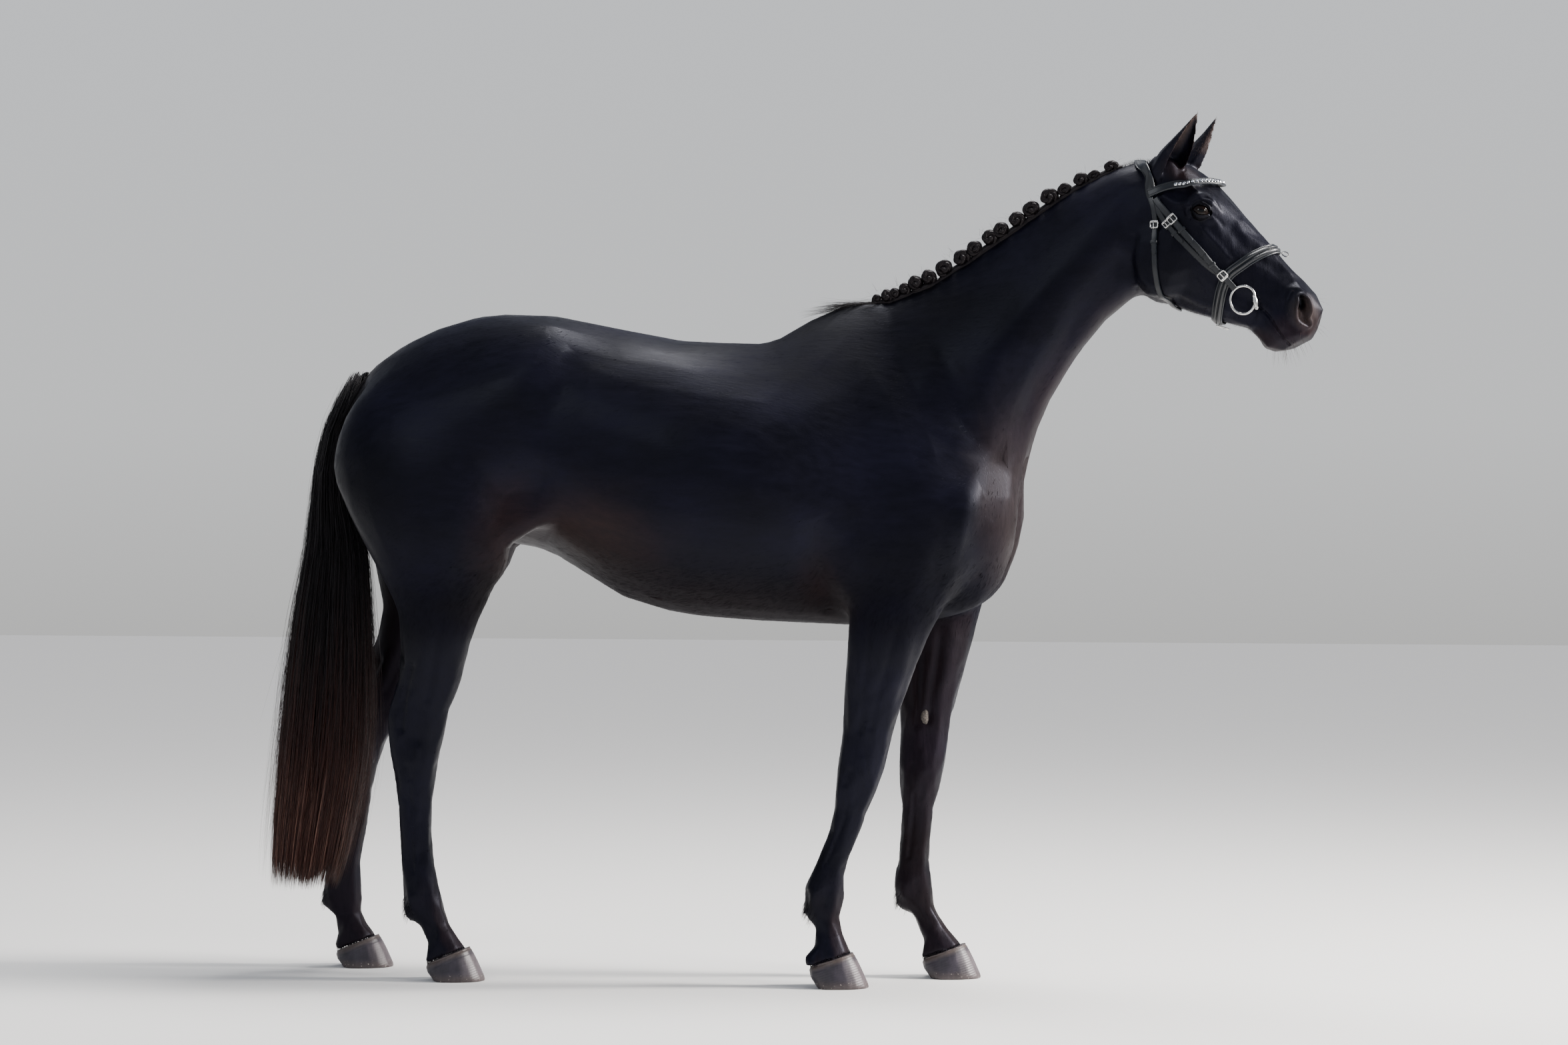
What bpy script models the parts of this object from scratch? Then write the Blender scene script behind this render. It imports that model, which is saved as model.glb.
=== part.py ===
"""A standing warmblood horse in a bridle: a life-size still model, in metres, +Z up, facing +X.

The flesh is modelled whole, as lofts and muscle masses that are fused and smoothed, and is then
parted with thin cuts into head, neck, trunk and legs. Eyes, ears, hooves, tail, plaits and each
piece of the bridle are solids of their own.
"""

import math

import bmesh
import bpy
import numpy as np
from mathutils import Matrix, Vector
from mathutils.bvhtree import BVHTree

for old in list(bpy.data.objects):
    bpy.data.objects.remove(old, do_unlink=True)

# ---------------------------------------------------------------- driving dimensions
GAP = 0.0004                # thin cut between two pieces that touch
VOXEL = 0.011               # grid on which the flesh is fused
FLESH_FACES = 3240          # triangles of all the flesh together
BODY_GROWTH = 0.001         # what smoothing took off is put back on trunk,
HEAD_GROWTH = 0.0055        # head
LEG_GROWTH = 0.002          # and legs
BROAD_ROUNDS = 26           # rounds of smoothing on trunk and neck
LEG_DETAIL = 0.55           # how much of the head's fineness the legs keep
DETAIL_FACTOR = 0.03        # how strongly that steers the thinning
HEAD_TURN = math.radians(9)  # the head looks a little to the horse's right
TURN_FROM = 0.58            # the neck starts to bend here
TURN_TO = 0.90              # and from here on the head is turned as one piece

# Trunk, from rump to breast:
# x, top, bottom, height of the widest line, half width, roundness of the top and of the bottom
TRUNK = (
    (-1.105, 1.430, 1.120, 1.290, 0.070, 2.0, 2.0),
    (-1.050, 1.518, 1.070, 1.290, 0.150, 2.0, 2.0),
    (-0.950, 1.588, 1.030, 1.290, 0.225, 2.0, 2.0),
    (-0.850, 1.632, 1.050, 1.300, 0.255, 2.0, 2.0),
    (-0.720, 1.657, 1.085, 1.320, 0.262, 2.1, 2.0),
    (-0.600, 1.654, 1.062, 1.370, 0.266, 2.3, 1.9),
    (-0.500, 1.637, 1.006, 1.330, 0.272, 2.2, 2.0),
    (-0.380, 1.612, 0.940, 1.270, 0.285, 2.1, 2.1),
    (-0.220, 1.586, 0.902, 1.240, 0.305, 2.0, 2.1),
    (-0.050, 1.582, 0.890, 1.220, 0.300, 1.8, 2.1),
    (0.080, 1.648, 0.884, 1.200, 0.275, 1.5, 2.1),
    (0.200, 1.691, 0.880, 1.180, 0.245, 1.35, 2.1),
    (0.320, 1.672, 0.885, 1.160, 0.225, 1.4, 2.1),
    (0.440, 1.560, 0.910, 1.140, 0.205, 1.6, 2.1),
    (0.530, 1.430, 0.970, 1.150, 0.160, 1.9, 2.1),
    (0.580, 1.300, 1.050, 1.170, 0.090, 2.0, 2.0),
)

# Neck, from withers to poll: order, crest x and z, underline x and z, half width,
# place of the widest line between underline 0 and crest 1, roundness above and below
NECK = (
    (0, 0.160, 1.600, 0.450, 1.030, 0.175, 0.45, 1.5, 2.0),
    (1, 0.270, 1.690, 0.590, 1.220, 0.165, 0.42, 1.35, 2.0),
    (2, 0.370, 1.732, 0.632, 1.365, 0.140, 0.42, 1.3, 2.0),
    (3, 0.488, 1.807, 0.692, 1.483, 0.112, 0.42, 1.35, 2.0),
    (4, 0.606, 1.886, 0.752, 1.572, 0.096, 0.42, 1.45, 2.0),
    (5, 0.720, 1.958, 0.815, 1.640, 0.088, 0.45, 1.6, 2.0),
    (6, 0.822, 2.004, 0.868, 1.688, 0.084, 0.50, 1.8, 2.0),
    (7, 0.893, 2.019, 0.930, 1.715, 0.078, 0.55, 2.0, 2.0),
)

# Head, from poll to lips: order, profile x and z, jaw line x and z, half width,
# place of the widest line, roundness above and below
HEAD = (
    (0, 0.881, 1.998, 0.868, 1.770, 0.062, 0.55, 2.0, 2.0),
    (1, 0.953, 2.020, 0.891, 1.705, 0.080, 0.60, 2.1, 1.8),
    (2, 1.035, 1.990, 0.937, 1.672, 0.088, 0.62, 2.3, 1.8),
    (3, 1.092, 1.940, 0.989, 1.648, 0.088, 0.62, 2.5, 1.7),
    (4, 1.143, 1.882, 1.045, 1.630, 0.074, 0.56, 2.4, 1.7),
    (5, 1.195, 1.824, 1.099, 1.614, 0.060, 0.52, 2.3, 1.8),
    (6, 1.243, 1.768, 1.144, 1.602, 0.051, 0.50, 2.2, 1.9),
    (7, 1.284, 1.725, 1.174, 1.592, 0.049, 0.48, 2.2, 2.0),
    (8, 1.317, 1.690, 1.194, 1.566, 0.051, 0.46, 2.1, 2.1),
    (9, 1.334, 1.652, 1.229, 1.552, 0.046, 0.46, 2.1, 2.1),
    (10, 1.324, 1.612, 1.268, 1.562, 0.030, 0.50, 2.0, 2.0),
)

# Legs, from the hoof up: height, half depth, half width, roundness
FORE_LEG = (
    (0.055, 0.050, 0.048, 2.2),
    (0.085, 0.046, 0.046, 2.2),
    (0.110, 0.038, 0.035, 2.1),
    (0.145, 0.032, 0.030, 2.1),
    (0.180, 0.037, 0.030, 2.1),
    (0.212, 0.052, 0.036, 2.2),
    (0.245, 0.048, 0.036, 2.2),
    (0.290, 0.041, 0.029, 2.3),
    (0.350, 0.0395, 0.0260, 2.4),
    (0.420, 0.041, 0.0275, 2.4),
    (0.460, 0.047, 0.036, 2.5),
    (0.500, 0.054, 0.043, 2.6),
    (0.545, 0.059, 0.043, 2.5),
    (0.600, 0.061, 0.042, 2.2),
    (0.680, 0.071, 0.048, 2.1),
    (0.780, 0.087, 0.060, 2.1),
    (0.880, 0.106, 0.072, 2.1),
    (0.950, 0.126, 0.080, 2.1),
    (1.050, 0.158, 0.080, 2.1),
    (1.200, 0.168, 0.078, 2.1),
    (1.330, 0.150, 0.072, 2.1),
    (1.450, 0.120, 0.060, 2.1),
    (1.560, 0.085, 0.042, 2.1),
)
HIND_LEG = (
    (0.050, 0.050, 0.047, 2.2),
    (0.080, 0.046, 0.044, 2.2),
    (0.110, 0.038, 0.034, 2.1),
    (0.145, 0.038, 0.031, 2.1),
    (0.172, 0.050, 0.035, 2.2),
    (0.205, 0.049, 0.037, 2.2),
    (0.255, 0.043, 0.032, 2.3),
    (0.340, 0.0415, 0.0270, 2.4),
    (0.440, 0.0445, 0.029, 2.4),
    (0.500, 0.051, 0.038, 2.5),
    (0.550, 0.060, 0.041, 2.4),
    (0.590, 0.070, 0.038, 2.2),
    (0.650, 0.078, 0.041, 2.0),
    (0.730, 0.082, 0.050, 1.9),
    (0.820, 0.088, 0.066, 2.0),
    (0.900, 0.103, 0.082, 2.0),
    (0.980, 0.138, 0.098, 2.1),
    (1.060, 0.172, 0.110, 2.1),
    (1.160, 0.212, 0.122, 2.1),
    (1.280, 0.240, 0.128, 2.1),
    (1.400, 0.225, 0.118, 2.1),
    (1.500, 0.165, 0.085, 2.1),
)

# Where each leg's middle line runs: height, x and distance from the horse's middle
LEG_LINES = {
    "fore_right": (
        (0.055, 0.146, 0.122), (0.110, 0.135, 0.121), (0.150, 0.127, 0.119), (0.220, 0.1165, 0.118),
        (0.400, 0.176, 0.119), (0.530, 0.209, 0.124), (0.700, 0.243, 0.140), (0.880, 0.287, 0.158),
        (1.050, 0.332, 0.160), (1.200, 0.320, 0.152), (1.400, 0.270, 0.115), (1.560, 0.235, 0.062)),
    "fore_left": (
        (0.055, 0.402, 0.124), (0.110, 0.366, 0.122), (0.150, 0.342, 0.120), (0.225, 0.306, 0.118),
        (0.400, 0.318, 0.119), (0.530, 0.329, 0.124), (0.700, 0.343, 0.140), (0.880, 0.360, 0.158),
        (1.050, 0.360, 0.160), (1.200, 0.335, 0.152), (1.400, 0.275, 0.115), (1.560, 0.235, 0.062)),
    "hind_right": (
        (0.050, -0.812, 0.128), (0.110, -0.842, 0.126), (0.145, -0.864, 0.125), (0.200, -0.890, 0.124),
        (0.400, -0.907, 0.127), (0.550, -0.907, 0.131), (0.650, -0.900, 0.138), (0.750, -0.864, 0.150),
        (0.850, -0.846, 0.162), (0.950, -0.832, 0.170), (1.060, -0.842, 0.172),
        (1.280, -0.872, 0.152), (1.500, -0.850, 0.100)),
    "hind_left": (
        (0.050, -1.106, 0.128), (0.110, -1.138, 0.126), (0.145, -1.152, 0.125), (0.200, -1.161, 0.124),
        (0.400, -1.132, 0.127), (0.550, -1.118, 0.131), (0.650, -1.086, 0.138), (0.750, -1.032, 0.150),
        (0.850, -0.985, 0.162), (0.950, -0.946, 0.170), (1.060, -0.925, 0.172),
        (1.280, -0.890, 0.152), (1.500, -0.850, 0.100)),
}
LEG_SIDE = {"fore_right": -1, "fore_left": 1, "hind_right": -1, "hind_left": 1}

# Hooves: the hairline's middle, and its forward slope in degrees
HAIRLINE = {
    "fore_right": ((0.140, 0.122, 0.070), 18),
    "fore_left": ((0.388, 0.124, 0.068), 20),
    "hind_right": ((-0.820, 0.128, 0.064), 22),
    "hind_left": ((-1.118, 0.128, 0.062), 22),
}
HOOF_SIDES = 18
HOOF_WIDTH = 0.128
HOOF_TAPER = 0.22           # the hairline is this much narrower than the sole
TOE_REACH = 0.092           # toe before the middle of the hairline, on the ground
TOP_REACH = 0.051           # and at the hairline
# share of the wall's height, and how far the heel lies behind the middle there
HEEL_REACH = ((0.0, 0.040), (0.06, 0.041), (0.50, 0.058), (0.93, 0.064), (1.0, 0.060))
HEEL_CLEFT = 0.010          # depth of the notch between the two heels
HEEL_CLEFT_WIDTH = 0.25     # its width, as a share of the half turn

# Muscle and bone masses on both sides: centre, half sizes, then how far each dips nose down
# and how far it turns away from the middle, in degrees
MASSES = (
    ((0.515, 0.078, 1.140), (0.072, 0.082, 0.150), 8, 10),     # breast
    ((0.440, 0.165, 1.165), (0.075, 0.062, 0.110), 20, 20),    # point of the shoulder
    ((0.225, 0.185, 1.060), (0.120, 0.060, 0.120), -25, 0),    # triceps
    ((0.460, 0.060, 0.995), (0.115, 0.070, 0.070), -36, 0),    # breast between the forelegs
    ((-0.580, 0.205, 1.500), (0.060, 0.045, 0.050), 0, 0),     # point of the hip
    ((1.050, 0.078, 1.908), (0.058, 0.025, 0.034), 34, -6),    # brow over the eye
    ((0.958, 0.056, 1.790), (0.088, 0.036, 0.108), 18, 0),     # cheek
    ((1.278, 0.036, 1.664), (0.040, 0.020, 0.046), 20, -8),    # nostril wing
    ((0.955, 0.047, 1.996), (0.042, 0.030, 0.030), 20, 0),     # root of the ear
)
# These go with their own thigh: how far before the thigh's middle line, distance from the
# horse's middle and height, then as above
STIFLE = ((0.128, 0.188, 1.085), (0.058, 0.070, 0.105), -14, 0)
FLANK_FOLD = ((0.245, 0.205, 1.150), (0.120, 0.036, 0.050), -35, 0)
# Behind each leg's middle line: how far behind, how high, half sizes
ERGOT_TUFT = {
    "fore": (-0.040, 0.190, (0.016, 0.019, 0.026)),
    "hind": (-0.044, 0.166, (0.017, 0.019, 0.026)),
}
# The two soft bulbs of each heel, behind and below the middle of the hairline
HEEL_BULB = ((-0.043, 0.021, -0.010), (0.028, 0.024, 0.032))
MIDDLE_MASSES = (
    ((1.224, 0.0, 1.578), (0.038, 0.036, 0.026), 10, 0),       # chin
    ((1.291, 0.0, 1.613), (0.030, 0.040, 0.040), 10, 0),       # upper lip
)

# ---------------------------------------------------------------- collections and materials
PARTS = bpy.data.collections.new("Horse")
CUTTERS = bpy.data.collections.new("Cutters")
for group in (PARTS, CUTTERS):
    bpy.context.scene.collection.children.link(group)

FINISHES = {
    "coat": ((0.020, 0.017, 0.020), 0.45, 0.0),
    "tail_hair": ((0.030, 0.016, 0.012), 0.55, 0.0),
    "hoof_horn": ((0.200, 0.180, 0.180), 0.50, 0.0),
    "eye": ((0.010, 0.006, 0.005), 0.05, 0.0),
    "leather": ((0.012, 0.014, 0.018), 0.40, 0.0),
    "steel": ((0.620, 0.620, 0.620), 0.22, 1.0),
    "crystal": ((0.750, 0.760, 0.780), 0.10, 0.0),
}


def finish(name, label):
    """A material of its own for one piece, in one of the finishes above."""
    colour, roughness, metallic = FINISHES[label]
    material = bpy.data.materials.new(f"{label}_{name}")
    material.use_nodes = True
    shader = material.node_tree.nodes["Principled BSDF"]
    shader.inputs["Base Color"].default_value = (*colour, 1.0)
    shader.inputs["Roughness"].default_value = roughness
    shader.inputs["Metallic"].default_value = metallic
    return material


def new_object(name, mesh, label=None, group=PARTS):
    """Link a mesh as one object."""
    piece = bpy.data.objects.new(name, mesh)
    group.objects.link(piece)
    if label:
        mesh.materials.append(finish(name, label))
    return piece


def from_bmesh(name, shape, label=None, group=PARTS):
    """Turn a bmesh into an object, with its faces outwards."""
    bmesh.ops.recalc_face_normals(shape, faces=shape.faces)
    mesh = bpy.data.meshes.new(name)
    shape.to_mesh(mesh)
    shape.free()
    return new_object(name, mesh, label, group)


def baked(piece):
    """Apply a piece's modifiers."""
    depsgraph = bpy.context.evaluated_depsgraph_get()
    mesh = bpy.data.meshes.new_from_object(piece.evaluated_get(depsgraph))
    piece.modifiers.clear()
    piece.data = mesh
    return piece


def points_of(piece):
    """The vertices of a piece as rows of x, y, z."""
    rows = np.empty(len(piece.data.vertices) * 3)
    piece.data.vertices.foreach_get("co", rows)
    return rows.reshape(-1, 3)


def set_points(piece, rows):
    """Move the vertices of a piece."""
    piece.data.vertices.foreach_set("co", np.ascontiguousarray(rows).ravel())
    piece.data.update()


# ---------------------------------------------------------------- smooth tables and lofts
def flow(table, at):
    """Values between the rows of a table, without overshoot; its first column rises."""
    table = np.array(table, float)
    key = table[:, 0]
    value = table[:, 1:]
    slope = np.diff(value, axis=0) / np.diff(key)[:, None]
    tangent = np.zeros_like(value)
    before, after = slope[:-1], slope[1:]
    same = before * after > 0
    tangent[1:-1][same] = (2 * before * after)[same] / (before + after)[same]
    tangent[0], tangent[-1] = slope[0], slope[-1]
    at = np.atleast_1d(np.asarray(at, float))
    i = np.clip(np.searchsorted(key, at, side="right") - 1, 0, len(key) - 2)
    span = (key[i + 1] - key[i])[:, None]
    t = (at - key[i])[:, None] / span
    return (value[i] * (1 + 2 * t) * (1 - t) ** 2 + span * tangent[i] * t * (1 - t) ** 2
            + value[i + 1] * t ** 2 * (3 - 2 * t) + span * tangent[i + 1] * t ** 2 * (t - 1))


def section(centre, up, half_width, rise, drop, top_power, low_power, count=28):
    """One closed outline: a rounded shape whose top and bottom halves have their own height."""
    across = Vector((0, 1, 0))
    outline = []
    for step in range(count):
        angle = 2 * math.pi * step / count
        c, s = math.cos(angle), math.sin(angle)
        power = top_power if s > 0 else low_power
        reach = rise if s > 0 else drop
        side = math.copysign(abs(c) ** (2 / power), c) * half_width
        high = math.copysign(abs(s) ** (2 / power), s) * reach
        outline.append(centre + across * side + up * high)
    return outline


def loft(outlines):
    """A closed skin through a row of outlines, as a bmesh."""
    shape = bmesh.new()
    rings = [[shape.verts.new(point) for point in outline] for outline in outlines]
    count = len(rings[0])
    for a, b in zip(rings, rings[1:]):
        for i in range(count):
            j = (i + 1) % count
            shape.faces.new((a[i], a[j], b[j], b[i]))
    shape.faces.new(rings[0])
    shape.faces.new(rings[-1])
    return shape


def trunk_loft():
    """The barrel, from rump to breast."""
    outlines = []
    for x in np.linspace(TRUNK[0][0], TRUNK[-1][0], 60):
        top, bottom, wide, half, high_power, low_power = flow(TRUNK, x)[0]
        outlines.append(section(Vector((x, 0, wide)), Vector((0, 0, 1)), half,
                                top - wide, wide - bottom, high_power, low_power))
    return loft(outlines)


def slanted_loft(table, count):
    """Neck or head: each station hangs between a point of its top and one of its underline."""
    outlines = []
    for order in np.linspace(table[0][0], table[-1][0], count):
        tx, tz, bx, bz, half, wide, high_power, low_power = flow(table, order)[0]
        top, base = Vector((tx, 0, tz)), Vector((bx, 0, bz))
        centre = base.lerp(top, wide)
        length = (top - base).length
        outlines.append(section(centre, (top - base).normalized(), half,
                                length * (1 - wide), length * wide, high_power, low_power))
    return loft(outlines)


def leg_loft(name):
    """One leg from hoof to shoulder or rump, in level sections."""
    table = FORE_LEG if name.startswith("fore") else HIND_LEG
    outlines = []
    for z in np.linspace(table[0][0], table[-1][0], 64):
        depth, width, power = flow(table, z)[0]
        x, y = flow(LEG_LINES[name], z)[0]
        outlines.append(section(Vector((x, LEG_SIDE[name] * y, z)), Vector((1, 0, 0)), width,
                                depth, depth, power, power, 20))
    return loft(outlines)


def mass(centre, radii, dip, turn, side=1):
    """An ellipsoid that stands for a muscle or a bone under the skin."""
    shape = bmesh.new()
    bmesh.ops.create_uvsphere(shape, u_segments=20, v_segments=12, radius=1.0)
    place = (Matrix.Translation((centre[0], centre[1] * side, centre[2]))
             @ Matrix.Rotation(math.radians(-turn) * side, 4, "Z")
             @ Matrix.Rotation(math.radians(dip), 4, "Y")
             @ Matrix.Diagonal((*radii, 1)))
    bmesh.ops.transform(shape, matrix=place, verts=shape.verts)
    return shape


# ---------------------------------------------------------------- the flesh, whole
# Strokes that a hand would draw on the flesh, on both sides: route, reach, depth (minus is a groove)
STROKES = (
    (((-1.13, 0.000, 1.44), (-1.12, 0.000, 1.25), (-1.02, 0.000, 1.02)), 0.034, -0.030),  # between rumps
    (((0.62, 0.000, 1.28), (0.60, 0.000, 1.12), (0.54, 0.000, 0.96)), 0.026, -0.020),     # breast groove
    (((0.36, 0.150, 1.62), (0.43, 0.160, 1.46), (0.49, 0.150, 1.34)), 0.040, -0.016),     # before shoulder
    (((0.86, 0.070, 1.76), (0.76, 0.080, 1.66), (0.64, 0.085, 1.47), (0.57, 0.085, 1.34)), 0.026, -0.010),
    (((0.115, 0.230, 1.10), (0.120, 0.200, 0.92)), 0.040, -0.020),                        # behind elbow
    (((-0.520, 0.250, 1.52), (-0.540, 0.260, 1.38)), 0.060, -0.018),                      # flank hollow
    (((-0.560, 0.230, 1.26), (-0.600, 0.220, 1.14)), 0.035, -0.014),                      # before stifle
    (((0.865, 0.075, 1.90), (0.850, 0.080, 1.80), (0.868, 0.070, 1.71)), 0.020, -0.010),  # behind jaw
    (((1.020, 0.095, 1.940), (0.985, 0.090, 1.955)), 0.022, -0.010),                      # above the eye
    (((0.965, 0.000, 1.67), (1.060, 0.000, 1.63), (1.150, 0.000, 1.60)), 0.020, -0.014),  # between jaws
)


def rise(values, low, high):
    """From 0 at the low value to 1 at the high value."""
    return np.clip((values - low) / (high - low), 0, 1)


def distance_to_route(rows, route):
    """Shortest distance from each row to a broken line."""
    best = np.full(len(rows), 1e9)
    for a, b in zip(route, route[1:]):
        a, b = np.array(a), np.array(b)
        along = np.clip(((rows - a) @ (b - a)) / ((b - a) @ (b - a)), 0, 1)
        best = np.minimum(best, np.linalg.norm(rows - (a + along[:, None] * (b - a)), axis=1))
    return best


def normals_of(piece):
    """The vertex normals of a piece as rows."""
    rows = np.empty(len(piece.data.vertices) * 3)
    piece.data.vertex_normals.foreach_get("vector", rows)
    return rows.reshape(-1, 3)


def draw_strokes(piece, strokes):
    """Press grooves and raise ridges along each route, on both sides."""
    for route, reach, depth in strokes:
        rows, normals = points_of(piece), normals_of(piece)
        for side in (-1, 1):
            path = [(x, y * side, z) for x, y, z in route]
            if side == 1 and all(y == 0 for _, y, _ in route):
                continue
            weight = np.exp(-(distance_to_route(rows, path) / reach) ** 2)
            rows = rows + normals * (depth * weight)[:, None]
        set_points(piece, rows)


def smoothed(piece, rounds, weights=None):
    """Even out a piece's skin; weights say how much at each vertex."""
    modifier = piece.modifiers.new("Smooth", "SMOOTH")
    modifier.factor = 0.5
    modifier.iterations = rounds
    if weights is not None:
        group = piece.vertex_groups.new(name="soft")
        for level in range(1, 11):
            chosen = np.nonzero(np.round(weights * 10) == level)[0].tolist()
            group.add(chosen, level / 10, "REPLACE")
        modifier.vertex_group = group.name
    baked(piece)
    piece.vertex_groups.clear()
    return piece


def whole_flesh():
    """Trunk, neck, head, legs and muscles fused into one closed skin."""
    shapes = [trunk_loft(), slanted_loft(NECK, 40), slanted_loft(HEAD, 48)]
    shapes += [leg_loft(name) for name in LEG_LINES]
    for centre, radii, dip, turn in MASSES:
        shapes += [mass(centre, radii, dip, turn, side) for side in (-1, 1)]
    shapes += [mass(*row) for row in MIDDLE_MASSES]
    for (before, y, z), radii, dip, turn in (STIFLE, FLANK_FOLD):
        for name in ("hind_left", "hind_right"):
            x = flow(LEG_LINES[name], z)[0][0] + before
            shapes.append(mass((x, y, z), radii, dip, turn, LEG_SIDE[name]))
    (behind, apart, under), radii = HEEL_BULB
    for name in LEG_LINES:
        (x, y, z), _ = HAIRLINE[name]
        shapes += [mass((x + behind, y + half * apart, z + under), radii, 0, 0, LEG_SIDE[name])
                   for half in (-1, 1)]
        offset, height, radii = ERGOT_TUFT[name[:4]]
        x, y = flow(LEG_LINES[name], height)[0]
        shapes.append(mass((x + offset, y, height), radii, 0, 0, LEG_SIDE[name]))
    joined = bmesh.new()
    for shape in shapes:
        bmesh.ops.recalc_face_normals(shape, faces=shape.faces)
        mesh = bpy.data.meshes.new("shape")
        shape.to_mesh(mesh)
        shape.free()
        joined.from_mesh(mesh)
        bpy.data.meshes.remove(mesh)
    mesh = bpy.data.meshes.new("flesh")
    joined.to_mesh(mesh)
    joined.free()
    flesh = new_object("flesh", mesh, group=CUTTERS)
    remesh = flesh.modifiers.new("Remesh", "REMESH")
    remesh.mode = "VOXEL"
    remesh.voxel_size = VOXEL
    baked(flesh)
    smoothed(flesh, 3)
    rows = points_of(flesh)
    broad = rise(rows[:, 2], 0.75, 1.00) * rise(-rows[:, 0], -0.92, -0.80)
    smoothed(flesh, BROAD_ROUNDS, 0.1 + 0.9 * broad)
    draw_strokes(flesh, STROKES)
    smoothed(flesh, 3)
    rows = points_of(flesh)
    head = rise(rows[:, 0], 0.80, 0.88)
    legs = rise(-rows[:, 2], -0.80, -0.60)
    growth = BODY_GROWTH + (HEAD_GROWTH - BODY_GROWTH) * head + (LEG_GROWTH - BODY_GROWTH) * legs
    set_points(flesh, rows + normals_of(flesh) * growth[:, None])
    return flesh


def thinned(piece, faces):
    """Reduce a piece to about so many triangles, keeping more of them on head and legs."""
    rows = points_of(piece)
    head = rise(rows[:, 0], 0.84, 0.92)
    legs = rise(-rows[:, 2], -0.95, -0.70)
    loose = 1 - 0.9 * (0.15 + 0.85 * np.maximum(head, LEG_DETAIL * legs))
    group = piece.vertex_groups.new(name="loose")
    for level in range(1, 21):
        chosen = np.nonzero(np.round(loose * 20) == level)[0].tolist()
        group.add(chosen, level / 20, "REPLACE")
    triangles = sum(len(face.vertices) - 2 for face in piece.data.polygons)
    modifier = piece.modifiers.new("Decimate", "DECIMATE")
    modifier.ratio = faces / triangles
    modifier.vertex_group = group.name
    modifier.vertex_group_factor = DETAIL_FACTOR
    modifier.use_collapse_triangulate = True
    baked(piece)
    piece.vertex_groups.clear()
    return piece


# ---------------------------------------------------------------- thin cuts
def slab(centre, normal, reach, thick=GAP):
    """A thin cutter: a box whose short side lies along the normal."""
    shape = bmesh.new()
    bmesh.ops.create_cube(shape, size=1.0)
    turn = Vector(normal).to_track_quat("Z", "Y").to_matrix().to_4x4()
    place = Matrix.Translation(centre) @ turn @ Matrix.Diagonal((*reach, thick, 1))
    bmesh.ops.transform(shape, matrix=place, verts=shape.verts)
    cutter = from_bmesh("slab", shape, group=CUTTERS)
    cutter.hide_render = True
    cutter.display_type = "WIRE"
    return cutter


def combined(piece, other, operation="DIFFERENCE"):
    """Cut or join a piece with another, which is then removed."""
    modifier = piece.modifiers.new("Boolean", "BOOLEAN")
    modifier.solver = "EXACT"
    modifier.operation = operation
    modifier.object = other
    baked(piece)
    bpy.data.objects.remove(other, do_unlink=True)
    return piece


NECK_CUT = ((0.435, 0.0, 1.505), (0.722, 0.0, 0.692))
HEAD_CUT = ((0.8735, 0.0, 1.860), (0.998, 0.0, -0.066))
FORE_HEIGHTS = {"forearm": 0.868, "cannon": 0.500, "pastern": 0.232}
HIND_HEIGHTS = {"thigh": 0.950, "cannon": 0.545, "pastern": 0.192}


def hairline_frame(name):
    """Middle and normal of the plane where a hoof meets the skin."""
    (x, y, z), slope = HAIRLINE[name]
    angle = math.radians(slope)
    return Vector((x, LEG_SIDE[name] * y, z)), Vector((-math.sin(angle), 0, math.cos(angle)))


def parted_flesh(flesh):
    """Cut the flesh with thin slabs and name what falls apart."""
    cuts = [slab(*NECK_CUT, (0.8, 0.8)), slab(*HEAD_CUT, (0.45, 0.45))]
    for name, side in LEG_SIDE.items():
        heights = FORE_HEIGHTS if name.startswith("fore") else HIND_HEIGHTS
        for height in heights.values():
            x, y = flow(LEG_LINES[name], height)[0]
            reach = 0.46 if height > 0.9 else 0.27
            cuts.append(slab((x, side * (y + 0.01), height), (0, 0, 1), (reach, 0.30)))
        cuts.append(slab(*hairline_frame(name), (0.2, 0.2)))
    for cutter in cuts:
        combined(flesh, cutter)
    return split_by_name(flesh)


def name_of_flesh(centre):
    """The name of the piece of flesh whose middle is here."""
    x, y, z = centre
    if z > 1.0:
        if (Vector(centre) - Vector(HEAD_CUT[0])).dot(Vector(HEAD_CUT[1])) > 0:
            return "head"
        if (Vector(centre) - Vector(NECK_CUT[0])).dot(Vector(NECK_CUT[1])) > 0:
            return "neck"
        return "trunk"
    end = "fore" if x > -0.3 else "hind"
    side = "left" if y > 0 else "right"
    heights = FORE_HEIGHTS if end == "fore" else HIND_HEIGHTS
    piece = [label for label, height in heights.items() if z < height][-1]
    if (Vector(centre) - hairline_frame(f"{end}_{side}")[0]).dot(hairline_frame(f"{end}_{side}")[1]) < 0:
        return None
    return f"{end}_{side}_{piece}"


def loose_groups(shape):
    """The vertices of each piece of a mesh that hangs together."""
    left = dict.fromkeys(shape.verts)
    groups = []
    while left:
        queue = [left.popitem()[0]]
        island = list(queue)
        while queue:
            for edge in queue.pop().link_edges:
                for vert in edge.verts:
                    if vert in left:
                        del left[vert]
                        queue.append(vert)
                        island.append(vert)
        groups.append(island)
    return groups


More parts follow.
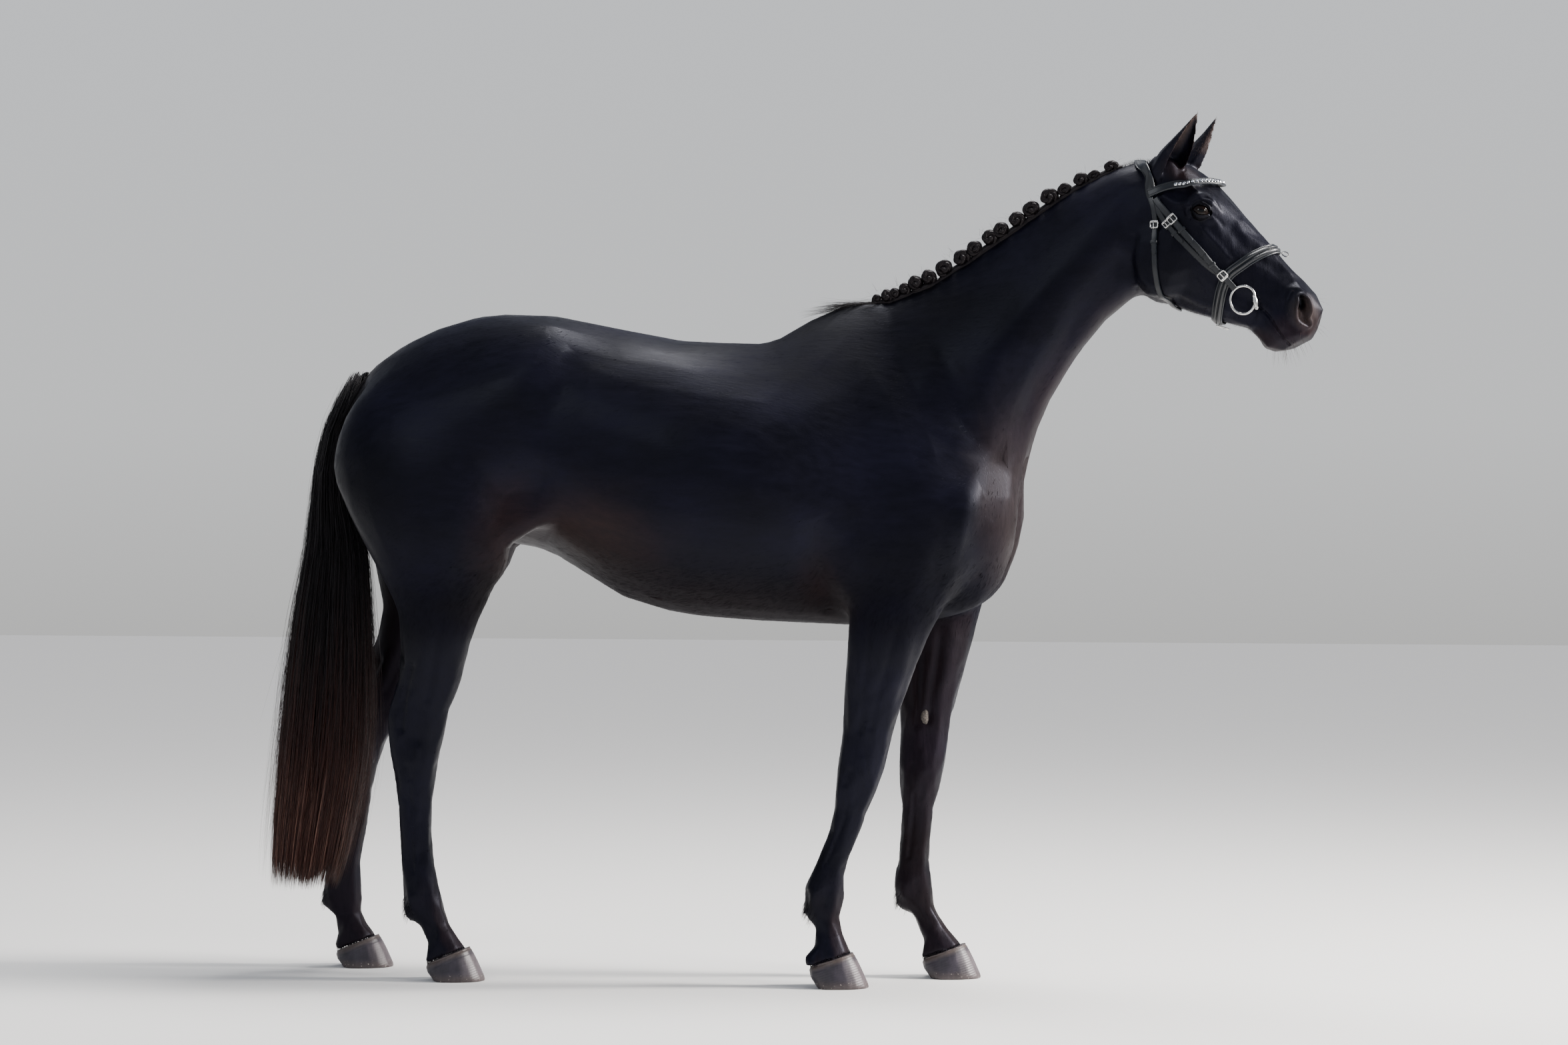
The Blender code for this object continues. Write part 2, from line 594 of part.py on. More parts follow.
def split_by_name(flesh):
    """Make one object of each loose piece of the flesh."""
    whole = bmesh.new()
    whole.from_mesh(flesh.data)
    bmesh.ops.triangulate(whole, faces=whole.faces)
    pieces = {}
    for island in loose_groups(whole):
        low = [min(vert.co[axis] for vert in island) for axis in range(3)]
        high = [max(vert.co[axis] for vert in island) for axis in range(3)]
        name = name_of_flesh([(a + b) / 2 for a, b in zip(low, high)])
        if name is None or len(island) < 20:
            continue
        part = bmesh.new()
        copies = {vert: part.verts.new(vert.co) for vert in island}
        for face in {face for vert in island for face in vert.link_faces}:
            part.faces.new([copies[vert] for vert in face.verts])
        pieces[name] = from_bmesh(name, part, "coat")
    whole.free()
    bpy.data.objects.remove(flesh, do_unlink=True)
    return pieces


# ---------------------------------------------------------------- hooves
def hoof(name):
    """A hoof: sole flat on the ground, wall sloping up to the hairline, heel bulbs behind."""
    middle_x, middle_y, middle_z = hairline_frame(name)[0]
    slope = math.radians(HAIRLINE[name][1])
    outlines = []
    for share, heel in HEEL_REACH:
        narrowing = 1 - HOOF_TAPER * share
        outline = []
        for step in range(HOOF_SIDES):
            angle = 2 * math.pi * step / HOOF_SIDES
            c, s = math.cos(angle), math.sin(angle)
            cleft = HEEL_CLEFT * math.exp(-(s / HEEL_CLEFT_WIDTH) ** 2) if c < 0 else 0.0
            forward = c * (TOE_REACH - (TOE_REACH - TOP_REACH) * share) if c > 0 else c * heel + cleft
            across = HOOF_WIDTH / 2 * narrowing * math.copysign(abs(s) ** 0.85, s)
            top = middle_z - 2 * GAP + forward * math.tan(slope)
            outline.append(Vector((middle_x + forward, middle_y + across, top * share)))
        outlines.append(outline)
    return from_bmesh(f"{name}_hoof", loft(outlines), "hoof_horn")


# ---------------------------------------------------------------- keeping pieces clear of the flesh
def swollen(piece, by):
    """A copy of a piece, grown along its normals, to cut its neighbours with."""
    copy = new_object("swollen", piece.data.copy(), group=CUTTERS)
    set_points(copy, points_of(copy) + normals_of(copy) * by)
    return copy


def cleared(piece, others, by=0.0012):
    """Cut away what would sink into the flesh, and keep the largest piece left."""
    for other in others:
        combined(piece, swollen(other, by))
    shape = bmesh.new()
    shape.from_mesh(piece.data)
    islands = sorted(loose_groups(shape), key=len)
    bmesh.ops.delete(shape, geom=[vert for island in islands[:-1] for vert in island], context="VERTS")
    shape.to_mesh(piece.data)
    shape.free()
    return piece


# ---------------------------------------------------------------- eyes and ears
EYE_RADIUS = 0.0235
EYE_MIDDLE = (1.057, 1.889)     # x and z
EYE_DEPTH = 0.0145              # middle of the eyeball under the skin
EAR_LENGTH = 0.174
EAR_SKIN = 0.005
EAR_THINNEST = 0.7              # near the tip the skin is this much of the radius
EAR_DEPTH = 0.85                # front to back, to one across
EAR_BOW = 0.012                 # how far the ear bows to its front half way up
EAR_ROOT = (0.962, 0.052, 1.985)
# lean forward and outward of each ear, in degrees, where its opening looks (0 is forward), and
# how far its root lies before the mean root
EAR_POSE = {"right": (33, 6, 42, -0.012), "left": (33, 4, 18, 0.008)}
# share of the ear's length, radius, and half angle of its opening in degrees
EAR_SHAPE = (
    (-0.12, 0.033, 22), (0.12, 0.040, 32), (0.30, 0.040, 46), (0.50, 0.0325, 57),
    (0.70, 0.0220, 65), (0.87, 0.0115, 70), (1.00, 0.0030, 72))


def surface_at(tree, x, z, side):
    """The point of the skin, and its normal, met from the side at this x and z."""
    point, normal, _, _ = tree.ray_cast(Vector((x, side * 0.5, z)), Vector((0, -side, 0)))
    return point, normal


def eyeball(side, tree):
    """A ball set into the head, on the side named by its sign."""
    point, _ = surface_at(tree, *EYE_MIDDLE, side)
    middle = Vector((point.x, point.y - side * EYE_DEPTH, point.z))
    shape = bmesh.new()
    bmesh.ops.create_uvsphere(shape, u_segments=12, v_segments=7, radius=EYE_RADIUS)
    facing = Matrix.Rotation(math.radians(90), 4, "X")
    bmesh.ops.transform(shape, matrix=Matrix.Translation(middle) @ facing, verts=shape.verts)
    return shape


def ear(side_name):
    """A pointed cup of even thickness, open to the front."""
    side = 1 if side_name == "left" else -1
    forward, outward, opening = (math.radians(a) for a in EAR_POSE[side_name][:3])
    stand = (Matrix.Rotation(-side * outward, 3, "X") @ Matrix.Rotation(forward, 3, "Y")
             @ Matrix.Rotation(side * opening, 3, "Z"))
    root = Vector((EAR_ROOT[0] + EAR_POSE[side_name][3], side * EAR_ROOT[1], EAR_ROOT[2]))
    outlines = []
    for share, radius, half_gap in EAR_SHAPE:
        gap = math.radians(half_gap)
        wall = min(EAR_SKIN, radius * EAR_THINNEST)
        bow = EAR_BOW * math.sin(math.pi * max(share, 0))
        outline = []
        for reach, order in ((radius, range(7)), (radius - wall, range(6, -1, -1))):
            for step in order:
                angle = gap + (2 * math.pi - 2 * gap) * step / 6
                outline.append(root + stand @ Vector((
                    math.cos(angle) * reach * EAR_DEPTH + bow, math.sin(angle) * reach,
                    EAR_LENGTH * share)))
        outlines.append(outline)
    return loft(outlines)


# ---------------------------------------------------------------- tail and plaits
# Height, back and front of the hanging tail, half width
TAIL = (
    (0.205, -1.316, -1.146, 0.052),
    (0.300, -1.310, -1.118, 0.066),
    (0.450, -1.297, -1.085, 0.074),
    (0.600, -1.282, -1.058, 0.076),
    (0.750, -1.266, -1.054, 0.074),
    (0.900, -1.245, -1.058, 0.070),
    (1.050, -1.217, -1.066, 0.060),
    (1.200, -1.203, -1.105, 0.052),
    (1.320, -1.184, -1.118, 0.046),
    (1.420, -1.150, -1.085, 0.040),
    (1.490, -1.105, -1.035, 0.034),
    (1.520, -1.075, -1.035, 0.022),
)
# Plaits from the poll to the withers: x and z of the middle, half length
PLAITS = (
    (0.795, 1.988, 0.037), (0.722, 1.958, 0.041), (0.642, 1.915, 0.046), (0.560, 1.870, 0.044),
    (0.492, 1.829, 0.035), (0.418, 1.783, 0.046), (0.345, 1.734, 0.038), (0.290, 1.707, 0.0225),
    (0.245, 1.691, 0.0225),
)
CREST_SLOPE = math.radians(32)
PLAIT_WAIST = 0.22              # how much thinner a plait is where its two rolls meet
PLAIT_END = 0.22                # how much fuller it is at its ends
PLAIT_WIDTH = 0.58              # half width and half height, to one of half length
PLAIT_HEIGHT = 0.64


def tail():
    """The whole tail, from its root to the straight cut end of its hair."""
    outlines = []
    for z in np.linspace(TAIL[0][0], TAIL[-1][0], 12):
        back, front, half = flow(TAIL, z)[0]
        outlines.append(section(Vector(((back + front) / 2, 0, z)), Vector((1, 0, 0)), half,
                                (front - back) / 2, (front - back) / 2, 2.2, 2.2, 12))
    return from_bmesh("tail", loft(outlines), "tail_hair")


def plait(number, x, z, half_length):
    """One rolled plait: a knob with a waist, where its two rolls meet."""
    shape = bmesh.new()
    bmesh.ops.create_uvsphere(shape, u_segments=8, v_segments=7, radius=1.0)
    lie = Matrix.Rotation(math.radians(90), 4, "Y")
    bmesh.ops.transform(shape, matrix=lie, verts=shape.verts)
    for vert in shape.verts:
        waist = 1 - PLAIT_WAIST * math.exp(-(vert.co.x / 0.3) ** 2)
        end = 1 + PLAIT_END * abs(vert.co.x)
        vert.co.y *= waist * end
        vert.co.z *= waist * end
    place = (Matrix.Translation((x, 0, z)) @ Matrix.Rotation(-CREST_SLOPE, 4, "Y")
             @ Matrix.Diagonal((half_length, half_length * PLAIT_WIDTH, half_length * PLAIT_HEIGHT, 1)))
    bmesh.ops.transform(shape, matrix=place, verts=shape.verts)
    return from_bmesh(f"plait_{number:02d}", shape, "tail_hair")


# ---------------------------------------------------------------- bridle
THICK = 0.0036                  # of the leather
RING_RADIUS = 0.0315
RING_WIRE = 0.0034
RING_SIDES = 20
RING_MIDDLE = (1.157, 1.676)    # x and z
RING_OUT = 0.010                # middle of the ring's wire beside the lips
RING_TIP = math.radians(-4)     # the ring's front turns in
RING_OVAL = 1.07                # how much higher than long the ring is
RING_FLAT = 0.10                # how much its front is pressed flat
BARREL_SIZE = 0.75              # how much thicker the wire is at the barrel
BARREL_PLACE = math.radians(12)  # where the barrel sits, under the ring's front


def spread_route(guide, spacing):
    """Even samples along a smooth curve through the guide points."""
    guide = [Vector(point) for point in guide]
    length = [0.0]
    for a, b in zip(guide, guide[1:]):
        length.append(length[-1] + (b - a).length)
    table = [(s, *point) for s, point in zip(length, guide)]
    count = max(2, round(length[-1] / spacing))
    return [Vector(row) for row in flow(table, np.linspace(0, length[-1], count + 1))]


def strap(name, tree, guide, width, lift, spacing, taut=0, thick=THICK):
    """A flat strap laid on the head along a guide; it stands clear of the skin by its lift."""
    spots = spread_route(guide, spacing)
    middles, outwards = [], []
    for spot in spots:
        near, normal, _, _ = tree.find_nearest(spot)
        middles.append(near + normal * lift)
        outwards.append(normal.copy())
    for _ in range(3):
        outwards = [(outwards[max(i - 1, 0)] + outwards[i] * 2
                     + outwards[min(i + 1, len(spots) - 1)]).normalized() for i in range(len(spots))]
    for _ in range(taut):
        middles[1:-1] = [(middles[i - 1] + middles[i] * 2 + middles[i + 1]) / 4
                         for i in range(1, len(spots) - 1)]
    shape = bmesh.new()
    rings = []
    for i, middle in enumerate(middles):
        before, after = middles[max(i - 1, 0)], middles[min(i + 1, len(middles) - 1)]
        along = (after - before).normalized()
        out = (outwards[i] - along * outwards[i].dot(along)).normalized()
        across = along.cross(out)
        need = lift
        for share in (-0.5, -0.25, 0.0, 0.25, 0.5):
            edge = middle + across * (share * width)
            near, normal, _, _ = tree.find_nearest(edge)
            need = max(need, lift + lift - (edge - near).dot(normal))
        base = middle + out * (need - lift)
        rings.append([shape.verts.new(base + across * (w * width) + out * (h * thick))
                      for w, h in ((-0.5, 0), (0.5, 0), (0.5, 1), (-0.5, 1))])
    for a, b in zip(rings, rings[1:]):
        for i in range(4):
            j = (i + 1) % 4
            shape.faces.new((a[i], a[j], b[j], b[i]))
    shape.faces.new(rings[0])
    shape.faces.new(rings[-1])
    return from_bmesh(name, shape, "leather")


def mirrored_guide(guide, side):
    """A guide on the named side, from one written for the left."""
    return [(x, y * side, z) for x, y, z in guide]


# Guides of the straps, for the left side: the build mirrors them
CHEEK_GUIDE = ((0.944, 0.10, 1.923), (0.963, 0.11, 1.899), (0.987, 0.11, 1.873), (1.022, 0.11, 1.833),
               (1.062, 0.10, 1.788), (1.092, 0.09, 1.750), (1.108, 0.08, 1.733))
BIT_STRAP_GUIDE = ((1.117, 0.09, 1.723), (1.123, 0.08, 1.7175), (1.129, 0.08, 1.712))
NOSE_STRAP_GUIDE = ((0.960, 0.10, 1.877), (0.972, 0.11, 1.862),
                    (1.002, 0.11, 1.828), (1.040, 0.10, 1.787), (1.085, 0.09, 1.745))
THROAT_GUIDE = ((0.926, 0.10, 1.935), (0.938, 0.10, 1.900), (0.942, 0.11, 1.860), (0.943, 0.11, 1.800),
                (0.946, 0.10, 1.740), (0.952, 0.085, 1.695), (0.962, 0.06, 1.664), (0.972, 0.03, 1.646),
                (0.976, 0.00, 1.640))
CROWN_GUIDE = ((0.926, 0.10, 1.943), (0.912, 0.10, 1.972), (0.896, 0.08, 2.003), (0.887, 0.045, 2.030),
               (0.884, 0.00, 2.036))
BROW_GUIDE = ((0.932, 0.10, 1.940), (0.962, 0.10, 1.952), (0.996, 0.10, 1.961), (1.034, 0.09, 1.966),
              (1.066, 0.06, 1.965), (1.084, 0.03, 1.963), (1.090, 0.00, 1.962))
NOSE_GUIDE = ((1.224, 0.00, 1.800), (1.212, 0.03, 1.796), (1.184, 0.06, 1.782), (1.146, 0.075, 1.755),
              (1.120, 0.080, 1.733), (1.104, 0.075, 1.700), (1.092, 0.06, 1.662), (1.082, 0.03, 1.628),
              (1.078, 0.00, 1.612))
# Straps that go over the middle: guide, width, lift off the skin, distance between samples,
# rounds of pulling taut, thickness
OVER_STRAPS = {
    "crownpiece": (CROWN_GUIDE, 0.026, 0.0034, 0.026, 0, THICK),
    "browband": (BROW_GUIDE, 0.020, 0.0095, 0.030, 2, THICK),
    "noseband": (NOSE_GUIDE, 0.028, 0.0040, 0.024, 1, 0.0048),
    "throatlash": (THROAT_GUIDE, 0.013, 0.0036, 0.030, 0, THICK),
}
# Straps of each side: guide, width, lift off the skin, distance between samples
SIDE_STRAPS = {
    "cheekpiece": (CHEEK_GUIDE, 0.016, 0.0096, 0.030),
    "bit_strap": (BIT_STRAP_GUIDE, 0.015, 0.0092, 0.012),
    "nose_strap": (NOSE_STRAP_GUIDE, 0.014, 0.0024, 0.030),
}

# Buckles on each side: place, which way the strap runs there, size along and across
BUCKLES = (
    ("cheek", (0.990, 1.871), (0.66, -0.75), (0.022, 0.025)),
    ("nose", (0.974, 1.860), (0.66, -0.75), (0.018, 0.019)),
    ("throat", (0.942, 1.860), (0.03, -1.0), (0.020, 0.022)),
    ("bit", (1.112, 1.728), (0.66, -0.75), (0.022, 0.025)),
)
NOSEBAND_BUCKLE = ((1.078, 0.0, 1.560), (0.0, 1.0, 0.0), (0.032, 0.034))
BUCKLE_WIRE = 0.0016
BUCKLE_CLEAR = 0.0008
FLASH_RING = (1.240, 1.784)     # x and z of the small ring under the noseband's front
FLASH_RADIUS = 0.0085
FLASH_WIRE = 0.0015


def there_and_back(guide):
    """A guide that runs over the middle from the left side to the right."""
    start_in_middle = guide[0][1] == 0
    half = guide[::-1] if start_in_middle else guide
    return list(half) + [(x, -y, z) for x, y, z in half[::-1][1:]]


def buckle(name, spot, along, flesh_tree, strap_tree, size):
    """A small frame that lies over a strap, shaped round at its outer end."""
    near, normal, _, _ = flesh_tree.find_nearest(Vector(spot))
    along = (Vector(along) - normal * Vector(along).dot(normal)).normalized()
    across = normal.cross(along)
    above = 0.05
    height = 0.0
    for u, v in ((a / 4, b / 2) for a in range(-2, 3) for b in (-1, -0.5, 0, 0.5, 1)):
        start = near + along * (u * size[0]) + across * (v * size[1]) + normal * above
        hit, _, _, distance = strap_tree.ray_cast(start, -normal)
        if hit:
            height = max(height, above - distance)
    middle = near + normal * (height + BUCKLE_CLEAR)
    wide = 2 * BUCKLE_WIRE
    shape = bmesh.new()
    rings = []
    for u, v in ((-1, -1), (-0.2, -1), (0.8, -1), (1, -0.8), (1, 0.8), (0.8, 1), (-0.2, 1), (-1, 1)):
        ring = []
        for inner, high in ((1, 0), (1, 1), (0, 1), (0, 0)):
            point = middle + along * ((size[0] / 2 - inner * wide) * u)
            point += across * ((size[1] / 2 - inner * wide) * v) + normal * (high * wide)
            ring.append(shape.verts.new(point))
        rings.append(ring)
    closed_rings(shape, rings)
    return from_bmesh(name, shape, "steel")


def closed_rings(shape, rings):
    """Faces between neighbouring rings of vertices, and from the last ring to the first."""
    for a, b in zip(rings, rings[1:] + rings[:1]):
        for i in range(len(a)):
            j = (i + 1) % len(a)
            shape.faces.new((a[i], a[j], b[j], b[i]))


def flash_ring(tree):
    """The small ring that stands under the front of the noseband, in the middle."""
    near, normal, _, _ = tree.find_nearest(Vector((FLASH_RING[0], 0.0, FLASH_RING[1])))
    middle = Vector((near.x, 0.0, near.z)) + normal * (FLASH_RADIUS + FLASH_WIRE + 2 * GAP)
    shape = bmesh.new()
    rings = []
    for step in range(10):
        around = 2 * math.pi * step / 10
        ring = []
        for turn in range(4):
            angle = 2 * math.pi * turn / 4
            wide = FLASH_RADIUS + FLASH_WIRE * math.cos(angle)
            ring.append(shape.verts.new(middle + Vector((
                math.cos(around) * wide, FLASH_WIRE * math.sin(angle), math.sin(around) * wide))))
        rings.append(ring)
    closed_rings(shape, rings)
    return from_bmesh("flash_ring", shape, "steel")


def bit_ring(name, side, tree):
    """A loose ring at the corner of the mouth, with the thick barrel on its front."""
    point, _ = surface_at(tree, *RING_MIDDLE, side)
    reach = abs(point.y) + RING_OUT
    middle = Vector((RING_MIDDLE[0], side * reach, RING_MIDDLE[1]))
    tip = Matrix.Rotation(RING_TIP * side, 4, "Z")
    place = Matrix.Translation(middle) @ tip @ Matrix.Rotation(math.radians(90), 4, "X")
    outlines = []
    for step in range(RING_SIDES):
        around = 2 * math.pi * step / RING_SIDES
        near_barrel = max(0.0, math.cos(around + BARREL_PLACE))
        thick = RING_WIRE * (1 + BARREL_SIZE * near_barrel ** 3)
        flat = 1 - RING_FLAT * near_barrel ** 2
        outline = []
        for turn in range(5):
            angle = 2 * math.pi * turn / 5
            wide = RING_RADIUS + thick * math.cos(angle)
            outline.append(place @ Vector((
                math.cos(around) * wide * flat, math.sin(around) * wide * RING_OVAL,
                thick * math.sin(angle))))
        outlines.append(outline)
    shape = bmesh.new()
    closed_rings(shape, [[shape.verts.new(point) for point in outline] for outline in outlines])
    return from_bmesh(name, shape, "steel")


def bridle(tree):
    """Every strap, buckle and ring of the bridle."""
    pieces = [strap(name, tree, there_and_back(guide), *sizes)
              for name, (guide, *sizes) in OVER_STRAPS.items()]
    for side_name, side in (("left", 1), ("right", -1)):
        pieces += [strap(f"{name}_{side_name}", tree, mirrored_guide(guide, side), *sizes)
                   for name, (guide, *sizes) in SIDE_STRAPS.items()]
        pieces.append(bit_ring(f"bit_ring_{side_name}", side, tree))
    crownpiece, browband = pieces[:2]
    cleared(browband, [crownpiece], 2 * GAP)
    strap_tree = tree_of(pieces)
    for side_name, side in (("left", 1), ("right", -1)):
        for label, (x, z), (ax, az), size in BUCKLES:
            pieces.append(buckle(f"{label}_buckle_{side_name}", (x, 0.11 * side, z), (ax, 0, az),
                                 tree, strap_tree, size))
    spot, along, size = NOSEBAND_BUCKLE
    pieces += [buckle("noseband_buckle", spot, along, tree, strap_tree, size), flash_ring(tree)]
    return pieces


# ---------------------------------------------------------------- pose and place
def turned_head(pieces):
    """Bend the neck to the right and carry the head with it."""
    curve = HEAD_TURN / (TURN_TO - TURN_FROM)
    for piece in pieces:
        rows = points_of(piece)
        x, y = rows[:, 0], rows[:, 1]
        angle = np.clip(x - TURN_FROM, 0, TURN_TO - TURN_FROM) * curve
        beyond = np.maximum(x - TURN_TO, 0)
        before = np.minimum(x, TURN_FROM)
        turned = rows.copy()
        turned[:, 0] = before + np.sin(angle) / curve + beyond * np.cos(angle) + y * np.sin(angle)
        turned[:, 1] = -(1 - np.cos(angle)) / curve - beyond * np.sin(angle) + y * np.cos(angle)
        set_points(piece, turned)


def centred(pieces):
    """Put the middle of the whole box over the origin, with the soles at zero."""
    rows = np.vstack([points_of(piece) for piece in pieces])
    low, high = rows.min(axis=0), rows.max(axis=0)
    shift = np.array(((low[0] + high[0]) / 2, (low[1] + high[1]) / 2, low[2]))
    for piece in pieces:
        set_points(piece, points_of(piece) - shift)


def tree_of(pieces):
    """A search tree over several pieces."""
    shape = bmesh.new()
    for piece in pieces:
        shape.from_mesh(piece.data)
    tree = BVHTree.FromBMesh(shape)
    shape.free()
    return tree


def build():
    """Make every piece of the horse."""
    flesh = thinned(whole_flesh(), FLESH_FACES)
    straight = tree_of([flesh])
    eyes = []
    for side_name, side in (("left", 1), ("right", -1)):
        eyes.append(from_bmesh(f"eye_{side_name}", eyeball(side, straight), "eye"))
    parts = parted_flesh(flesh)
    for eye in eyes:
        combined(parts["head"], swollen(eye, GAP * 1.5))
    tack = bridle(straight)
    ears = [from_bmesh(f"ear_{name}", ear(name), "coat") for name in ("left", "right")]
    for piece in ears:
        cleared(piece, [parts["head"], parts["neck"], tack[0]])
    hooves = [hoof(name) for name in LEG_LINES]
    hair = [cleared(tail(), [parts["trunk"], parts["hind_left_thigh"], parts["hind_left_cannon"]])]
    for number, (x, z, half_length) in enumerate(PLAITS, 1):
        hair.append(cleared(plait(number, x, z, half_length), [parts["neck"], parts["trunk"]]))
    pieces = list(parts.values()) + eyes + ears + hooves + hair + tack
    turned_head(pieces)
    centred(pieces)
    for piece in pieces:
        bpy.context.view_layer.objects.active = piece
        piece.data.name = piece.name
    return pieces


build()
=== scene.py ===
"""The looks of a life-size standing horse: skin, coat, hooves, eyes, tail, plaited mane and bridle."""
import math

import bmesh
import bpy
import numpy as np
from mathutils import Matrix, Vector
from mathutils.bvhtree import BVHTree
from mathutils.kdtree import KDTree


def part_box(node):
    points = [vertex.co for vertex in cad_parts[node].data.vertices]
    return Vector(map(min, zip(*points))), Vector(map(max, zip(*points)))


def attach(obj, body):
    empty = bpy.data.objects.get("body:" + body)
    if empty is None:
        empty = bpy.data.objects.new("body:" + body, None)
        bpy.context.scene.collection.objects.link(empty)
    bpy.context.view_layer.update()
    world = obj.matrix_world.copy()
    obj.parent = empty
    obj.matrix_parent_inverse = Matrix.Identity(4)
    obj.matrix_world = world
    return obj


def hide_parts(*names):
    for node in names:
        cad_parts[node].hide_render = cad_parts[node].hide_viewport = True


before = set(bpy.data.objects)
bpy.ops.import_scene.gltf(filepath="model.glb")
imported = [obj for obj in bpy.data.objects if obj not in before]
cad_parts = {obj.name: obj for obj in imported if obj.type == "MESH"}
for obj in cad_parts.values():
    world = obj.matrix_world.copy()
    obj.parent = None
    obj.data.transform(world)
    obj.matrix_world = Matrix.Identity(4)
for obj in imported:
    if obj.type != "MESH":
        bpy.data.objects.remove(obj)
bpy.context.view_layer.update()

# -------- where things are
LEGS = ("fore_left", "fore_right", "hind_left", "hind_right")
SIDES = {"left": 1, "right": -1}
HEAD_TURN = math.radians(9)     # the head looks this far to the horse's right
TURN_FROM, TURN_TO = 0.58, 0.90     # the neck bends between these places on a straight horse
SHIFT_X = 0.0085                # from the straight horse's own zero to the middle of the box

FLESH = ["trunk", "neck", "head", "ear_left", "ear_right"]
FLESH += [f"{leg}_{part}" for leg in LEGS
          for part in ("forearm" if leg.startswith("fore") else "thigh", "cannon", "pastern")]


def placed(rows):
    """Points of a straight horse, carried round with the turned head."""
    rows = np.atleast_2d(np.asarray(rows, float))
    x, y = rows[:, 0], rows[:, 1]
    curve = HEAD_TURN / (TURN_TO - TURN_FROM)
    angle = np.clip(x - TURN_FROM, 0, TURN_TO - TURN_FROM) * curve
    beyond = np.maximum(x - TURN_TO, 0)
    turned = rows.copy()
    turned[:, 0] = np.minimum(x, TURN_FROM) + np.sin(angle) / curve + beyond * np.cos(angle) \
        + y * np.sin(angle) - SHIFT_X
    turned[:, 1] = -(1 - np.cos(angle)) / curve - beyond * np.sin(angle) + y * np.cos(angle)
    return turned


def spot(x, y, z):
    """One point of a straight horse, carried round with the turned head."""
    return Vector(placed((x, y, z))[0])


# -------- handling pieces
def only(*pieces):
    """Select these pieces and nothing else."""
    if bpy.context.mode != "OBJECT":
        bpy.ops.object.mode_set(mode="OBJECT")
    bpy.ops.object.select_all(action="DESELECT")
    for piece in pieces:
        piece.select_set(True)
    bpy.context.view_layer.objects.active = pieces[0]


def new_piece(name, data):
    """A new object at the origin."""
    piece = bpy.data.objects.new(name, data)
    bpy.context.scene.collection.objects.link(piece)
    return piece


def edited(piece, operation, **values):
    """Run one mesh operation on the whole of a piece."""
    only(piece)
    bpy.ops.object.mode_set(mode="EDIT")
    bpy.ops.mesh.select_all(action="SELECT")
    operation(**values)
    bpy.ops.object.mode_set(mode="OBJECT")


def copied(name, nodes):
    """Copies of frame nodes, joined in one piece, their doubles merged."""
    copies = [new_piece(name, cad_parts[node].data.copy()) for node in nodes]
    only(*copies)
    if len(copies) > 1:
        bpy.ops.object.join()
    piece = bpy.context.view_layer.objects.active
    edited(piece, bpy.ops.mesh.remove_doubles, threshold=0.00001)
    piece.data.materials.clear()
    piece.name = name
    return piece


def applied(piece, kind, **values):
    """Add a modifier with these values and apply it."""
    modifier = piece.modifiers.new(kind.title(), kind)
    for key, value in values.items():
        setattr(modifier, key, value)
    only(piece)
    bpy.ops.object.modifier_apply(modifier=modifier.name)


def listed(items, name, wide=3, kind=float):
    """One property of many items as an array, this many numbers to an item."""
    values = np.empty(len(items) * wide, kind)
    items.foreach_get(name, values)
    return values.reshape(-1, wide) if wide > 1 else values


def rows_of(piece):
    """The vertices of a piece as rows of numbers."""
    return listed(piece.data.vertices, "co")


def put_rows(piece, rows):
    """Move the vertices of a piece to these places."""
    piece.data.vertices.foreach_set("co", np.asarray(rows, np.float32).ravel())
    piece.data.update()


def normals_of(piece):
    """The vertex normals of a piece."""
    return listed(piece.data.vertex_normals, "vector")


def step(values, low, high):
    """A smooth rise from 0 at low to 1 at high."""
    share = np.clip((np.asarray(values) - low) / (high - low), 0, 1)
    return share * share * (3 - 2 * share)


def weigh(piece, name, weights, levels=20):
    """Give a piece a vertex group with these weights."""
    group = piece.vertex_groups.new(name=name)
    ranks = np.round(np.clip(weights, 0, 1) * levels).astype(int)
    for level in range(1, levels + 1):
        chosen = np.nonzero(ranks == level)[0].tolist()
        if chosen:
            group.add(chosen, level / levels, "REPLACE")


def tree_of(piece):
    """A search tree over a piece."""
    shape = bmesh.new()
    shape.from_mesh(piece.data)
    tree = BVHTree.FromBMesh(shape)
    shape.free()
    return tree


# -------- camera, light and floor
CAMERA_DISTANCE = 10.6
CAMERA_AROUND = math.radians(9)     # before the horse's right side
CAMERA_HEIGHT = 1.284
LENS = 98.07704                     # millimetres, on a film 36 wide
FILM_WIDTH = 36.0
HORIZON_SHIFT = -0.0383             # how far the film is shifted down
ROOM_LIGHT = 0.80
FLOOR_SIZE = 40
# Lamps: name, place, size, power, colour; all look at the middle of the horse
LAMPS = (
    ("overhead", (0.8, 0.9, 5.8), (3.4, 1.6), 400, (1.0, 0.99, 0.98)),
    ("front", (5.0, -2.2, 3.4), (1.4, 1.4), 150, (1.0, 0.97, 0.93)),
    ("ahead", (4.6, 0.5, 3.0), (0.7, 1.2), 420, (1.0, 0.95, 0.91)),
    ("side", (-2.5, -4.6, 4.6), (2.2, 1.6), 60, (0.93, 0.96, 1.0)),
)
LAMP_TARGET = (0, 0, 1.2)
KEY_FROM, KEY_POWER, KEY_WIDTH = (0.84, 0.04, 0.54), 3.4, math.radians(12)


